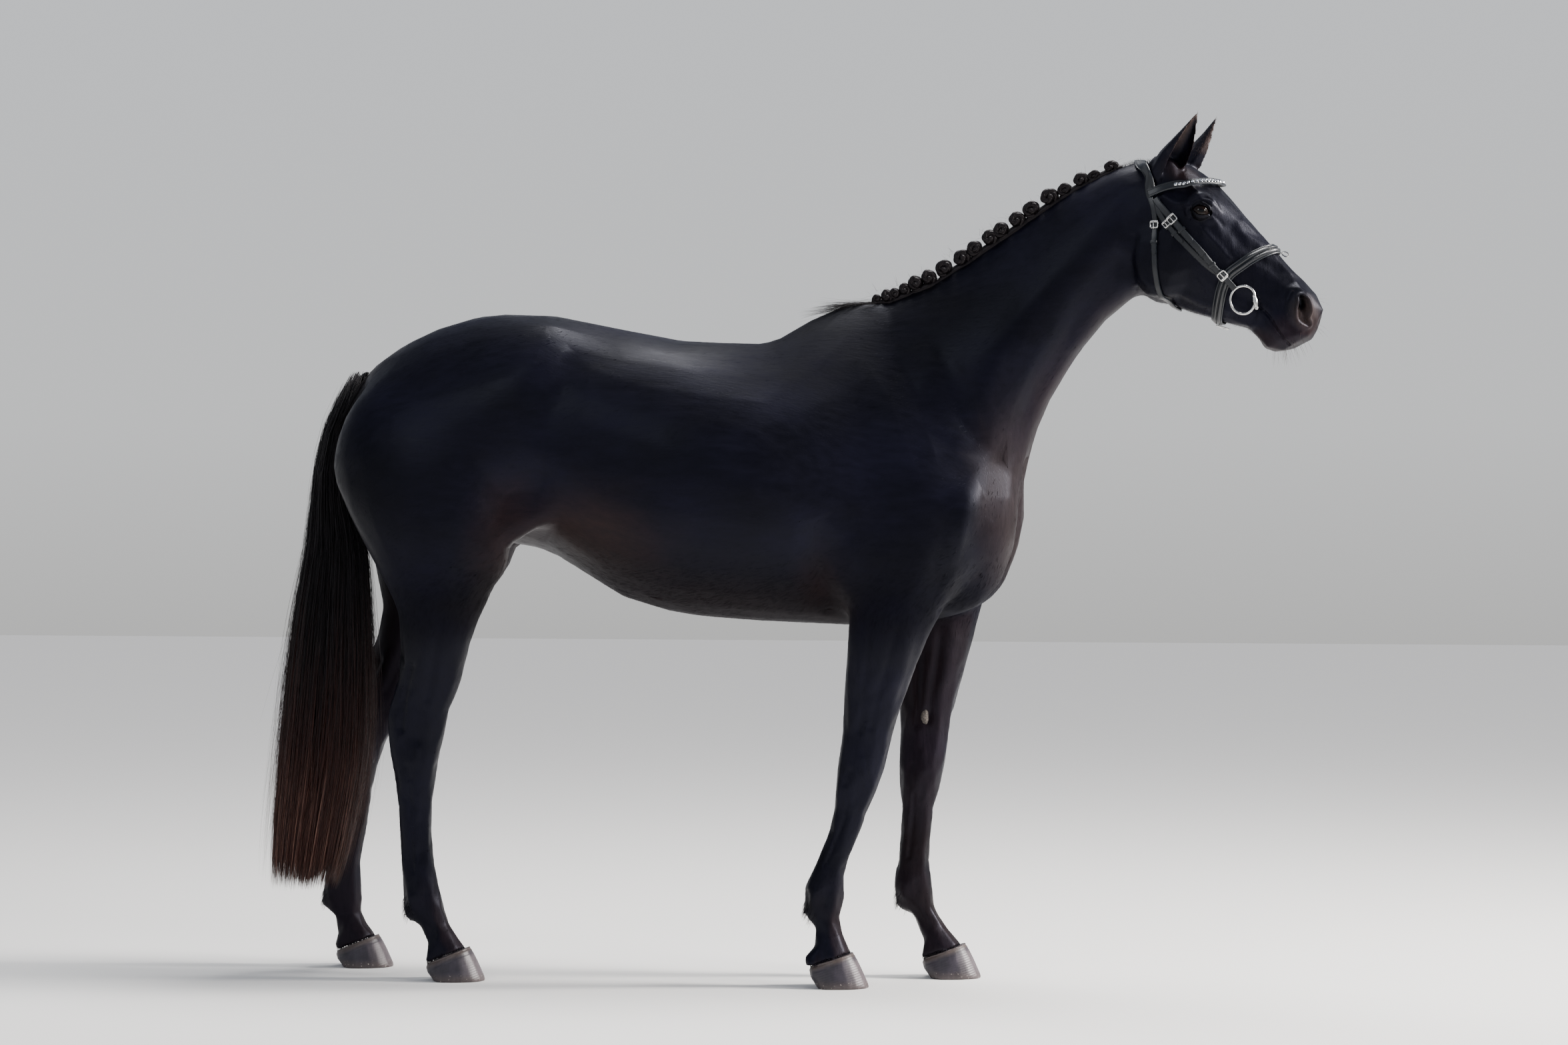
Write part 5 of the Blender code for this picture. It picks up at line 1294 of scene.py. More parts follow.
# -------- hair
def hair(name, spines, widths, outs, places, tone, paint, slot, patch_size=(0.003, 0.003), flat=False):
    """Thin closed locks, three-sided and pointed, joined in one piece; flat ones shade like the skin.

    spines: locks x points x 3; widths: locks x points; outs: the way out of the skin;
    places: each root's place on the unwrapped skin; tone: locks x points x 4.
    """
    count, steps = spines.shape[:2]
    along = unit(np.gradient(spines, axis=1))
    outs = unit(outs - along * np.sum(outs * along, axis=-1, keepdims=True))
    across = np.cross(along, outs)
    wide = widths[..., None]
    ridge = 0.22 if flat else 0.45
    corners = np.stack([spines + across * wide, spines - across * wide, spines + outs * wide * ridge], 2)
    body = corners[:, :-1].reshape(count, -1, 3)
    rows = np.concatenate([body, spines[:, -1:]], 1)
    each = rows.shape[1]
    quads = np.array([(i * 3 + j, i * 3 + (j + 1) % 3, (i + 1) * 3 + (j + 1) % 3, (i + 1) * 3 + j)
                      for i in range(steps - 2) for j in range(3)])
    last = (steps - 2) * 3
    tips = np.array([(last + j, last + (j + 1) % 3, each - 1) for j in range(3)] + [(2, 1, 0)])
    first = (np.arange(count) * each)[:, None, None]
    loops = np.concatenate([(part[None] + first).reshape(count, -1) for part in (quads, tips)], 1)
    sizes = np.tile(np.array([4] * len(quads) + [3] * len(tips)), count)
    mesh = bpy.data.meshes.new(name)
    mesh.vertices.add(count * each)
    mesh.vertices.foreach_set("co", rows.astype(np.float32).ravel())
    mesh.loops.add(loops.size)
    mesh.loops.foreach_set("vertex_index", loops.astype(np.int32).ravel())
    mesh.polygons.add(len(sizes))
    mesh.polygons.foreach_set("loop_start", (np.cumsum(sizes) - sizes).astype(np.int32))
    mesh.polygons.foreach_set("loop_total", sizes.astype(np.int32))
    mesh.update(calc_edges=True)
    local = np.zeros((each, 2))
    local[:-1, 1] = np.repeat(np.arange(steps - 1), 3) / (steps - 1)
    local[:-1, 0] = np.tile((0.0, 1.0, 0.5), steps - 1)
    local[-1] = (0.5, 1.0)
    where = places[:, None] + (local[None] - 0.5) * np.array(patch_size)
    layer = mesh.uv_layers.new(name="OFBake")
    layer.data.foreach_set("uv", where.reshape(-1, 2)[loops.ravel()].astype(np.float32).ravel())
    colours = np.concatenate([np.repeat(tone[:, :-1], 3, axis=1), tone[:, -1:]], 1)
    piece = new_piece(name, mesh)
    painted(piece, "coat_tone_and_painted_light", colours.reshape(-1, 4))
    painted(piece, "coat_lie", lies(rows.reshape(-1, 3)))
    piece.data.materials.append(paint)
    only(piece)
    bpy.ops.object.shade_smooth()
    if flat:
        ways = np.concatenate([np.repeat(outs[:, :-1], 3, axis=1), outs[:, -1:]], 1)
        mesh.normals_split_custom_set_from_vertices(ways.reshape(-1, 3).tolist())
    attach(piece, "root")


def hair_paint():
    """Long hair: black at the root, red-brown where the sun has bleached it, and pale in some locks near
    the ends.
    """
    paint, shader = blank("long_hair")
    here = coordinates(paint)
    brown, pale, _ = channel(paint, "coat_tone_and_painted_light")
    strands = noise(here, 260, (1, 1, 0.03), 3)
    base = mixed(brown, (0.0022, 0.0021, 0.0030), (0.0360, 0.0110, 0.0075))
    base = mixed(pale, base, (0.2400, 0.1250, 0.0950))
    light = greys(strands, 0.30, 0.70, 0.55, 1.5)
    link(mixed(1.0, base, light, "MULTIPLY"), shader.inputs["Base Color"])
    roughened(shader, strands, 0.22, 0.30)
    preset(shader, Specular_IOR_Level=0.20, Specular_Tint=(0.92, 0.84, 0.86, 1))
    bumped(shader, strands, 0.5, 0.0010)
    return paint


# -------- eyes
def eye_paint():
    """A dark brown iris round a level pupil, under a clear wet surface."""
    paint, shader = blank("eye")
    pupil, white, _ = channel(paint, "eye_tone")
    veins = noise(coordinates(paint), 420, detail=4)
    iris = mixed(veins, (0.0022, 0.0012, 0.0010), (0.0085, 0.0042, 0.0026))
    base = mixed(white, iris, (0.0100, 0.0065, 0.0055))
    link(mixed(pupil, base, (0.0005, 0.0006, 0.0012)), shader.inputs["Base Color"])
    preset(shader, Roughness=0.30, Specular_IOR_Level=0.0, Coat_Weight=0.42, Coat_Roughness=0.02)
    return paint


def eyes():
    """Two eyeballs with a raised cornea."""
    paint = eye_paint()
    for label, side in SIDES.items():
        middle, ahead, upward, outward = eye_frame(side)
        bpy.ops.object.select_all(action="DESELECT")
        bpy.ops.mesh.primitive_uv_sphere_add(segments=96, ring_count=64, radius=1, location=(0, 0, 0))
        piece = bpy.context.active_object
        piece.name = f"eyeball_{label}"
        rows = rows_of(piece)
        u, v, w = rows[:, 0], rows[:, 1], rows[:, 2]
        radius = EYE_BALL - 0.0006
        cornea = 1 + 0.05 * np.exp(-((u / 0.62) ** 2 + (v / 0.52) ** 2) ** 2) * (w > 0)
        place = np.array(middle) + radius * cornea[:, None] * (
            np.outer(u, ahead) + np.outer(v, upward) + np.outer(w, outward))
        put_rows(piece, place)
        pupil = (1 - step(np.hypot(u / 0.34, v / 0.17), 0.85, 1.08)) * (w > 0)
        white = step(np.hypot(u / 0.80, v / 0.70), 0.94, 1.05)
        painted(piece, "eye_tone", colours_of(pupil, white * 0.8))
        settled(piece, paint, [f"eye_{label}"])
        piece.name = f"eyeball_{label}"


# -------- hooves
def horn_paint():
    """Grey-mauve horn with fine growth rings, a pale band at the hair, paler where the wall faces forward,
    and specks of dust near the ground.
    """
    paint, shader = blank("horn")
    here = coordinates(paint)
    band, toe, low = channel(paint, "horn_tone")
    grain = noise(here, 150, (1, 1, 0.12), 4)
    cloud = noise(here, 28, detail=4)
    specks = noise(here, 210, detail=2)
    base = ramp(cloud, ((0.30, (0.010, 0.008, 0.014)), (0.70, (0.028, 0.022, 0.033))))
    # paler horn where the wall faces forward
    base = mixed(times(toe, 0.52), base, (0.16, 0.128, 0.135))
    base = mixed(times(band, 0.34), base, (0.15, 0.110, 0.080))
    base = mixed(times(low, 0.45), base, (0.070, 0.052, 0.044))
    base = mixed(1.0, base, greys(grain, 0.25, 0.75, 0.75, 1.2), "MULTIPLY")
    dust = greys(specks, 0.66, 0.72)
    base = mixed(times(dust, times(low, 0.8)), base, (0.42, 0.38, 0.33))
    link(base, shader.inputs["Base Color"])
    roughened(shader, cloud, 0.20, 0.34)
    bumped(shader, grain, 0.25, 0.0008)
    return paint


HOOF_VOXEL = 0.0022
HOOF_ROUNDS = 60
RING_GAP = 0.0062
SOLE_HOLLOW = 0.005


def hooves():
    """Each hoof: ringed wall, soft band under the hair, hollow sole with its frog."""
    paint = horn_paint()
    for leg in LEGS:
        rough = copied(f"{leg}_horn", [f"{leg}_hoof"])
        faces = [(face.center.x, face.center.z) for face in rough.data.polygons
                 if face.normal.z > 0.75 and face.center.z > 0.03]
        slope, start = np.polyfit([x for x, _ in faces], [z for _, z in faces], 1)
        applied(rough, "REMESH", mode="VOXEL", voxel_size=HOOF_VOXEL)
        applied(rough, "SMOOTH", factor=0.5, iterations=7)
        applied(rough, "SMOOTH", factor=0.5, iterations=HOOF_ROUNDS, use_z=False)
        rows, normals = rows_of(rough), normals_of(rough)
        low, high = rows.min(axis=0), rows.max(axis=0)
        rows[:, 2] += -low[2]
        below = start + slope * rows[:, 0] - rows[:, 2]
        wall = step(1 - np.abs(normals[:, 2]), 0.25, 0.5) * step(rows[:, 2], 0.002, 0.006)
        middle = (low + high) / 2
        turn = np.arctan2(rows[:, 1] - middle[1], rows[:, 0] - middle[0])
        wave = np.sin(2 * np.pi * below / RING_GAP + 0.8 * np.sin(3 * turn))
        swell = 0.00020 * wave * wall * step(below, 0.010, 0.020)
        swell += 0.0006 * wall * np.exp(-((below - 0.008) / 0.0045) ** 2)
        swell -= 0.0005 * wall * np.exp(-((below - 0.0155) / 0.003) ** 2)
        swell -= 0.0024 * wall * np.exp(-(np.clip(below, 0, None) / 0.010) ** 2)
        rows += normals * swell[:, None]
        u = (rows[:, 0] - low[0]) / (high[0] - low[0])
        v = (rows[:, 1] - middle[1]) / (high[1] - low[1]) * 2
        under = step(-normals[:, 2], 0.7, 0.95)
        inside = 1 - step(np.hypot((u - 0.46) / 0.44, v / 0.84), 0.86, 1.0)
        aside = np.abs(v) - 0.34 * np.clip((0.66 - u) / 0.66, 0, 1)
        frog = 1 - step(aside, 0.0, 0.08)
        groove = np.exp(-(aside / 0.07) ** 2) * (u < 0.66)
        rows[:, 2] += under * inside * (SOLE_HOLLOW * (1 - 0.75 * frog) + 0.003 * groove)
        put_rows(rough, rows)
        band = np.exp(-((below - 0.005) / 0.007) ** 2)
        toe = step(normals[:, 0], 0.25, 0.85) * step(below, 0.010, 0.030)
        ground = 1 - step(rows[:, 2], 0.006, 0.024)
        painted(rough, "horn_tone", colours_of(band, toe, ground))
        settled(rough, paint, [f"{leg}_hoof"])
        rough.name = f"{leg}_horn"


# -------- tail
def tail_outline():
    """Height, back, front and half width of the tail, from the frame."""
    rows = rows_of(bpy.data.objects["tail_core"])
    table = []
    for z in np.linspace(rows[:, 2].min() + 0.002, rows[:, 2].max() - 0.004, 26):
        near = rows[np.abs(rows[:, 2] - z) < 0.035]
        table.append((z, near[:, 0].min(), near[:, 0].max(), np.abs(near[:, 1]).max()))
    return np.array(table)


TAIL_LOCKS, TAIL_HAIRS, TAIL_STEPS = 2500, 1100, 13


def tail(paint):
    """The tail: a core of hair and long straight locks hanging round it, cut level."""
    core = copied("tail_core", ["tail"])
    applied(core, "REMESH", mode="VOXEL", voxel_size=0.008)
    applied(core, "SMOOTH", factor=0.5, iterations=8)
    table = tail_outline()
    heights = table[:, 0]
    rng = np.random.default_rng(41)
    count = TAIL_LOCKS + TAIL_HAIRS
    loose = np.arange(count) >= TAIL_LOCKS
    top, bottom = heights[-1], heights[0]
    angle = rng.uniform(0, 2 * np.pi, count)
    start = top - (top - bottom) * rng.beta(1.1, 2.6, count) * 0.72
    end = bottom + rng.gamma(1.4, 0.020, count) - 0.006
    end = np.where(rng.random(count) < 0.10, end + rng.uniform(0, 0.35, count), end)
    end = np.where(loose, bottom + rng.uniform(-0.012, 0.50, count) * rng.random(count), end)
    start = np.maximum(start, end + 0.14)
    share = np.linspace(0, 1, TAIL_STEPS)
    z = start[:, None] + (end - start)[:, None] * share
    back, front, half = (np.interp(z, heights, table[:, k]) for k in (1, 2, 3))
    deep = np.where(loose, rng.uniform(0.92, 1.06, count), rng.uniform(0.88, 0.995, count))[:, None]
    inner = (~loose & (rng.random(count) < 0.45)) * rng.uniform(0.15, 0.95, count)
    deep = deep * (1 - inner[:, None] * step(share, 0.62, 0.90))
    deep = deep * (0.86 + 0.14 * step(share, 0, 0.18)) \
        + (loose * rng.gamma(1.1, 0.10, count))[:, None] * share
    sway = rng.normal(0, 0.0035, (count, 1)) * (1 + loose[:, None] * 0.8) \
        * np.sin(share * rng.uniform(2, 7, (count, 1)) + rng.uniform(0, 6, (count, 1)))
    turn = angle[:, None] + rng.normal(0, 0.16, (count, 1)) * share
    c, s = squared(turn, 0.9)
    x = (back + front) / 2 + (front - back) / 2 * deep * c + sway
    y = half * deep * s + np.roll(sway, 1, axis=0)
    spines = np.stack([x, y, z], -1)
    outs = np.stack([c, s, 0 * s], -1)
    width = np.where(loose, 0.0005, rng.uniform(0.0012, 0.0032, count))[:, None]
    widths = width * (0.35 + 0.65 * step(share, 0, 0.15)) * (1 - 0.72 * step(share, 0.55, 1.0))
    brown = step(1.02 - z + rng.normal(0, 0.10, (count, 1)) + 0.10 * np.abs(c), 0.10, 0.72)
    # some locks paler towards the ends
    streak = (rng.random((count, 1)) < 0.30) * rng.uniform(0.15, 0.75, (count, 1))
    pale = streak * step(0.62 - z, 0, 0.35)
    tone = colours_of(brown * rng.uniform(0.45, 1.0, (count, 1)), pale)
    places = np.stack([0.01 + 0.98 * (angle / (2 * np.pi)),
                       0.02 + 0.95 * (start - bottom) / (top - bottom)], -1)
    for name, mine in (("tail_locks", slice(TAIL_LOCKS)), ("tail_hairs", slice(TAIL_LOCKS, None))):
        hair(name, *(part[mine] for part in (spines, widths, outs, places, tone)), paint, "tail_hair",
             (0.003, 0.012))
    finish_core(core, bottom, paint)


def finish_core(core, bottom, paint):
    """Draw the core in behind the locks, end it above their ends, and give it its place."""
    rows, normals = rows_of(core), normals_of(core)
    rows = rows - normals * (0.006 + 0.006 * (1 - step(rows[:, 2], bottom + 0.1, bottom + 0.5)))[:, None]
    above = rows[:, 2] - bottom
    rows[:, 2] = bottom + np.where(above < 0.24, 0.13 + above * 0.11 / 0.24, above)
    put_rows(core, rows)
    brown = 0.75 * step(1.02 - rows[:, 2], 0.10, 0.72)
    painted(core, "coat_tone_and_painted_light", colours_of(brown))
    settled(core, paint, ["tail"])
    core.name = "tail_core"
    unwrapped(core)


# -------- plaited mane
PLAIT_COUNT = 9
PLAIT_SINK = 0.006              # how deep a plait sits in the crest
PLAIT_ROOT = 0.0125             # half as thick as the mane under it
ROLL_POINTS = 46


def plait_centres():
    """Where the plaits sit, which way the crest runs there, and half of each one's length."""
    centres = np.array([middle_of(f"plait_{n:02d}") for n in range(1, PLAIT_COUNT + 1)])
    ways = unit(np.gradient(centres, axis=0))
    gaps = np.linalg.norm(np.diff(centres, axis=0), axis=1)
    room = np.minimum(np.append(gaps, gaps[-1]), np.insert(gaps, 0, gaps[0]))
    return centres, ways if ways[0][0] > 0 else -ways, room * 0.545


def roll(hub, ahead, up, side, reach, face, knob, rng):
    """One rolled end of a plait: three strands wound from the outside to the middle."""
    share = np.linspace(0, 1, ROLL_POINTS)
    angle = math.radians(rng.uniform(-110, -50)) + 2 * np.pi * 1.25 * share * knob
    rope = reach * 0.40
    far = (reach - rope) * (1 - 0.80 * share ** 1.6)
    rise = face * reach * (0.22 + 0.46 * share)
    line = hub + np.outer(np.cos(angle) * far, ahead) + np.outer(np.sin(angle) * far * 0.90, up) \
        + np.outer(rise, side)
    _, across, outs = axes_along(line, side * face)
    thick = rope * (1 - 0.22 * share) * (0.80 + 0.20 * step(share, 0, 0.10))
    shapes = []
    for strand in range(3):
        twist = 2 * np.pi * (strand / 3 + share * 1.9)
        offset = across * (np.cos(twist) * thick * 0.40)[:, None] \
            + outs * (np.sin(twist) * thick * 0.34)[:, None]
        shapes.append(tube(line + offset, thick * 0.68, 10, side))
    return shapes


def plaits(tree, paint):
    """Nine plaits, each rolled up in two knobs on the crest and sewn down."""
    centres, ways, halves = plait_centres()
    for number, (centre, ahead, half) in enumerate(zip(centres, ways, halves), 1):
        side = unit(np.cross((0, 0, 1), ahead))
        up = np.cross(ahead, side)
        own = rows_of(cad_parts[f"plait_{number:02d}"]) - centre

        def seat(at):
            """Where the crest lies under the plait, this share of its half length along it."""
            place = centre + ahead * half * at
            return place + up * (0.06 - tree.ray_cast(Vector(place + up * 0.06), Vector(-up), 0.12)[3])

        rng = np.random.default_rng(100 + number)
        shapes = []
        for knob in (-1, 1):
            foot = seat(0.50 * knob)
            mine = own[np.abs(own @ ahead - 0.50 * knob * half) < 0.3 * half]
            high = (mine @ up).max() - (foot - centre) @ up
            size = float(np.clip((high + PLAIT_SINK) * 0.58, 0.0150, 0.0245)) * rng.uniform(0.98, 1.04)
            hub = foot + up * (size * 0.96 - PLAIT_SINK)
            for face in (-1, 1):
                shapes += roll(hub, ahead * (0.53 * half / size), up, side, size, face, knob, rng)
            core = [hub + side * size * 0.55 * w for w in (-1, -0.5, 0, 0.5, 1)]
            shapes.append(tube(core, size * np.array((0.30, 0.66, 0.74, 0.66, 0.30)), 12, up))
        root = [seat(at) - up * 0.002 for at in np.linspace(-1.12, 1.12, 9)]
        shapes.append(tube(root, PLAIT_ROOT * np.array((0.6, 0.9, 1, 1, 1, 1, 1, 0.9, 0.6)), 12, side))
        piece = piece_of(f"plait_roll_{number:02d}", shapes, paint, [f"plait_{number:02d}"])
        painted(piece, "coat_tone_and_painted_light", np.tile((0.03, 0.0, 0.0, 1.0), (len(piece.data.vertices), 1)))
    return centres, ways


# -------- short coat
def skin_table(piece):
    """The skin's faces: corners, normals, sizes, unwrapped places, centres, and straight centres."""
    faces = piece.data.polygons
    triangles = rows_of(piece)[listed(faces, "vertices", 3, np.int32)]
    places = listed(piece.data.uv_layers["OFBake"].data, "uv", 2).reshape(-1, 3, 2)
    centres = triangles.mean(axis=1)
    return {"corners": triangles, "normals": listed(faces, "normal"), "area": listed(faces, "area", 1),
            "places": places, "centres": centres, "straight": straightened(centres)}


def lie_of_coat(flat):
    """The way the hair lies at places of the straight horse."""
    x, _, z = flat.T
    ways = np.tile((-1.0, 0.0, -0.42), (len(flat), 1))

    def turn(share, way):
        ways[:] = ways * (1 - share)[:, None] + share[:, None] * np.array(way)

    turn(1 - step(x, -1.05, -0.85), (-0.5, 0, -0.9))
    turn(step(x, 0.42, 0.62), (-0.75, 0, -0.70))
    turn(step(x, 0.45, 0.55) * (1 - step(z, 1.30, 1.45)), (-0.1, 0, -1.0))
    turn(1 - step(z, 0.86, 1.02), (-0.16, 0, -1.0))
    turn(step(x, 0.90, 0.97) * step(z, 1.50, 1.60), (-0.20, 0, -1.0))
    turn(step(x + 0.55 * (z - 1.85), 0.99, 1.06) * step(z, 1.50, 1.60), (0.72, 0, -0.70))
    turn(step(z, 1.99, 2.03) * step(x, 0.90, 0.94), (0.30, 0, 1.0))
    return ways


def roots_on(table, weights, count, rng):
    """Random places on the skin, more where the weight is high."""
    chance = table["area"] * weights
    chosen = rng.choice(len(chance), count, p=chance / chance.sum())
    a, b = rng.random(count), rng.random(count)
    outside = a + b > 1
    a, b = np.where(outside, 1 - a, a), np.where(outside, 1 - b, b)
    share = np.stack([1 - a - b, a, b], 1)[..., None]
    rows = (table["corners"][chosen] * share).sum(axis=1)
    places = (table["places"][chosen] * share).sum(axis=1)
    return rows, table["normals"][chosen], places


TUFTS = 11500                   # in each piece of the short coat


def coat_tufts(name, table, tree, weights, size, paint, seed):
    """Short flat tufts over the skin; size gives length, width and lift at straight places."""
    rng, count = np.random.default_rng(seed), TUFTS
    rows, outs, places = roots_on(table, weights, count, rng)
    flat = straightened(rows)
    length, width, lift = size(flat)
    ways = lie_of_coat(flat) + rng.normal(0, 0.13, (count, 3))
    ways = unit(ways - outs * np.sum(ways * outs, axis=1, keepdims=True))
    length = length * rng.uniform(0.7, 1.25, count)
    share = np.array((0.0, 0.40, 0.75, 1.0))
    spines = rows[:, None] + ways[:, None] * (length[:, None] * share)[..., None]
    over = np.repeat(outs[:, None], 4, axis=1)
    for i in range(count):
        for k in (1, 2, 3):
            hit, normal, _, _ = tree.find_nearest(spines[i, k])
            spines[i, k] = hit
            over[i, k] = normal
    height = np.array((-0.0003, 0.45, 0.85, 1.0)) * np.ones((count, 1))
    height[:, 1:] *= (lift * rng.uniform(0.5, 1.2, count))[:, None]
    spines = spines + over * height[..., None]
    widths = (width * rng.uniform(0.7, 1.2, count))[:, None] * np.array((0.7, 1.0, 0.7, 0.1))
    # the tufts take the skin's tones, painted shade and painted highlight among them
    tone = tones(rows, outs)
    tone[:, :2] *= rng.uniform(0.7, 1.3, (count, 1))
    tone = np.repeat(tone[:, None], 4, axis=1)
    hair(name, spines, widths, over, places, tone, paint, "coat", flat=True)


def body_size(flat):
    """Tufts of the body: longer under the belly and behind the elbow."""
    under = 1 - step(flat[:, 2], 0.98, 1.12)
    return 0.0150 + 0.005 * under, 0.00065 + 0 * under, 0.00025 + 0.0007 * under


def leg_size(flat):
    """Tufts of the legs: shorter and standing off more low down, near the fetlocks."""
    low = 1 - step(flat[:, 2], 0.30, 0.60)
    return 0.0105 - 0.002 * low, 0.00055 + 0 * low, 0.00025 + 0.0003 * low


def head_size(flat):
    """Tufts of the head: smallest on the muzzle, longer under the jaw."""
    x, _, z = flat.T
    nose = step(x, 1.10, 1.28)
    jaw = (1 - step(z + 0.30 * (x - 0.98), 1.655, 1.70)) * (1 - step(x, 1.08, 1.16))
    return (0.0085 - 0.0050 * nose + 0.002 * jaw, 0.00045 - 0.00022 * nose,
            0.00020 - 0.00005 * nose + 0.0012 * jaw)


def standing(name, found, ways, size, tone, paint, slot, rng, steps=5, droop=0.0):
    """Longer hairs that leave the skin.

    found: roots, the ways out there and the places on the unwrapped skin; ways: which way they run;
    size: length, width and how far they stand off; tone: brown and pale; droop: how much they hang.
    """
    roots, outs, places = found
    length, width, stand = size
    count = len(roots)
    share = np.linspace(0, 1, steps)
    length = (length * rng.uniform(0.65, 1.2, count))[:, None]
    ways = unit(ways + rng.normal(0, 0.10, ways.shape))
    off = stand * rng.uniform(0.5, 1.3, count)[:, None]
    spines = roots[:, None] - outs[:, None] * 0.0006 + ways[:, None] * (length * share)[..., None] \
        + outs[:, None] * (length * off * share * (1 - 0.35 * share))[..., None]
    spines[..., 2] -= length * droop * share ** 2
    widths = (width * rng.uniform(0.7, 1.2, count))[:, None] * (1 - 0.85 * share ** 2) * np.ones((count, 1))
    tones_here = np.tile((*tone, 0.0, 1.0), (count, steps, 1))
    tones_here[..., :2] *= rng.uniform(0.5, 1.3, (count, 1, 1))
    over = np.repeat(outs[:, None], steps, axis=1)
    hair(name, spines, widths, over, places, tones_here, paint, slot)


def grown(name, table, weights, count, way, lift, size, tone, paint, slot, rng, *more):
    """Hairs that leave the skin where the weight is high, all one way but for some lift."""
    found = roots_on(table, weights, count, rng)
    standing(name, found, found[1] * lift + np.array(way), size, tone, paint, slot, rng, *more)


def search_of(rows):
    """A quick search for the nearest of these points."""
    search = KDTree(len(rows))
    for i, row in enumerate(rows):
        search.insert(row, i)
    search.balance()
    return search


def near_places(rows, table):
    """The unwrapped places nearest to some points."""
    search = search_of(table["centres"])
    found = [search.find(row)[1] for row in rows]
    return table["places"][found].mean(axis=1)


def fetlock_hair(table, paint):
    """The tufts behind the fetlocks and the hair behind the cannons."""
    rng = np.random.default_rng(61)
    x, _, z = table["centres"].T
    rear = -table["normals"][:, 0]
    knob = np.exp(-((z - np.where(x > -0.3, 0.190, 0.180)) / 0.020) ** 2) * step(rear, 0.35, 0.85) * 10
    grown("fetlock_tufts", table, knob, 620, (-0.35, 0, -1), 0, (0.019, 0.0006, 0.10), (0.10, 0),
          paint, "coat", rng)
    behind = np.exp(-((z - 0.36) / 0.10) ** 2) * step(rear, 0.55, 0.9) * (z < 0.55)
    grown("cannon_hair", table, behind, 900, (-0.22, 0, -1), 0, (0.011, 0.00035, 0.12), (0.05, 0),
          paint, "coat", rng, 4)


def coronet_fringe(table, paint):
    """Short hair that hangs over the top of each hoof."""
    rng = np.random.default_rng(62)
    centres, out = table["centres"], table["normals"]
    found = []
    for leg in LEGS:
        horn = rows_of(bpy.data.objects[f"{leg}_horn"])
        mine = np.nonzero((np.linalg.norm(centres[:, :2] - horn[:, :2].mean(axis=0), axis=1) < 0.11)
                          & (centres[:, 2] < 0.16))[0]
        search = search_of(horn)
        close = np.array([search.find(centres[i])[2] for i in mine])
        weights = np.zeros(len(centres))
        weights[mine[(close < 0.009) & (np.abs(out[mine, 2]) < 0.9)]] = 1
        found.append(roots_on(table, weights, 520, rng))
    found = [np.vstack(rows) for rows in zip(*found)]
    standing("coronet_fringe", found, found[1] * 0.25 + np.array((0.30, 0, -1)), (0.0105, 0.00055, 0.16),
             (0.12, 0.03), paint, "coat", rng, 4)


def head_hair(table, paint, long_paint):
    """Hair of the ears, the lashes, the whiskers and the fuzz under the jaw."""
    rng = np.random.default_rng(63)
    x, y, z = table["straight"].T
    ahead, aside, above = table["normals"].T
    ear = step(z, 2.015, 2.04) * step(x, 0.90, 0.94)
    hollow = ear * step(ahead, 0.15, 0.6)
    grown("ear_hair", table, hollow, 900, (0.25, 0, 1), 0.3, (0.0105, 0.00030, 0.35), (0.85, 0.20),
          paint, "coat", rng, 4)
    edge = ear * (1 - step(np.abs(ahead), 0.15, 0.4)) * (1 - step(np.abs(aside), 0.5, 0.8) * 0.6)
    grown("ear_edges", table, edge, 700, (0.35, 0, 1), 0, (0.0080, 0.00028, 0.30), (0.45, 0.10),
          paint, "coat", rng, 4)
    jaw = np.exp(-((z - (1.672 - 0.34 * (x - 1.0))) / 0.020) ** 2) * step(-above, 0.1, 0.6) \
        * step(x, 0.86, 0.90) * (1 - step(x, 1.16, 1.20))
    grown("jaw_fuzz", table, jaw, 2200, (-0.75, 0, -0.35), 0, (0.0068, 0.00020, 0.34), (0.22, 0.02),
          paint, "coat", rng, 4)
    lip = np.exp(-((z - 1.560) / 0.020) ** 2) * step(x, 1.17, 1.19) * step(-above, -0.3, 0.4) \
        + 0.25 * step(x, 1.26, 1.29) * (z > 1.58) * (z < 1.70)
    grown("whiskers", table, lip, 70, (0.15, 0, -0.35), 1, (0.030, 0.00022, 0.3), (0.2, 0.05),
          long_paint, "coat", rng, 6, 0.35)
    lashes(table, long_paint, rng)
    poll = np.exp(-(y / 0.012) ** 2) * step(above, 0.4, 0.8) * step(x, 0.80, 0.83) \
        * (1 - step(x, 0.95, 0.98)) * (z > 1.9)
    grown("bridle_path", table, poll, 700, (-0.35, 0, 0), 1, (0.0115, 0.00040, 0.2), (0, 0),
          long_paint, "tail_hair", rng, 4)


def lashes(table, paint, rng):
    """The lashes of the upper lids."""
    rows, outs, ways = [], [], []
    for side in (-1, 1):
        middle, ahead, upward, outward = (np.array(axis) for axis in eye_frame(side))
        for u in np.linspace(-0.017, 0.019, 30):
            v = EYE_OPEN * (1 - (u / EYE_LENGTH) ** 2) ** 0.62
            w = math.sqrt(max((EYE_BALL + LID * 0.7) ** 2 - u * u - v * v, 0))
            rows.append(middle + ahead * u + upward * (v + 0.0006) + outward * w)
            outs.append(outward)
            ways.append(unit(outward * 0.9 + upward * 0.25 + ahead * (0.25 + u * 10) - (0, 0, 0.25)))
    found = np.array(rows), np.array(outs), near_places(rows, table)
    standing("eyelashes", found, np.array(ways), (0.0125, 0.00024, 0.05), (0, 0), paint, "coat",
             rng, 5, -0.12)


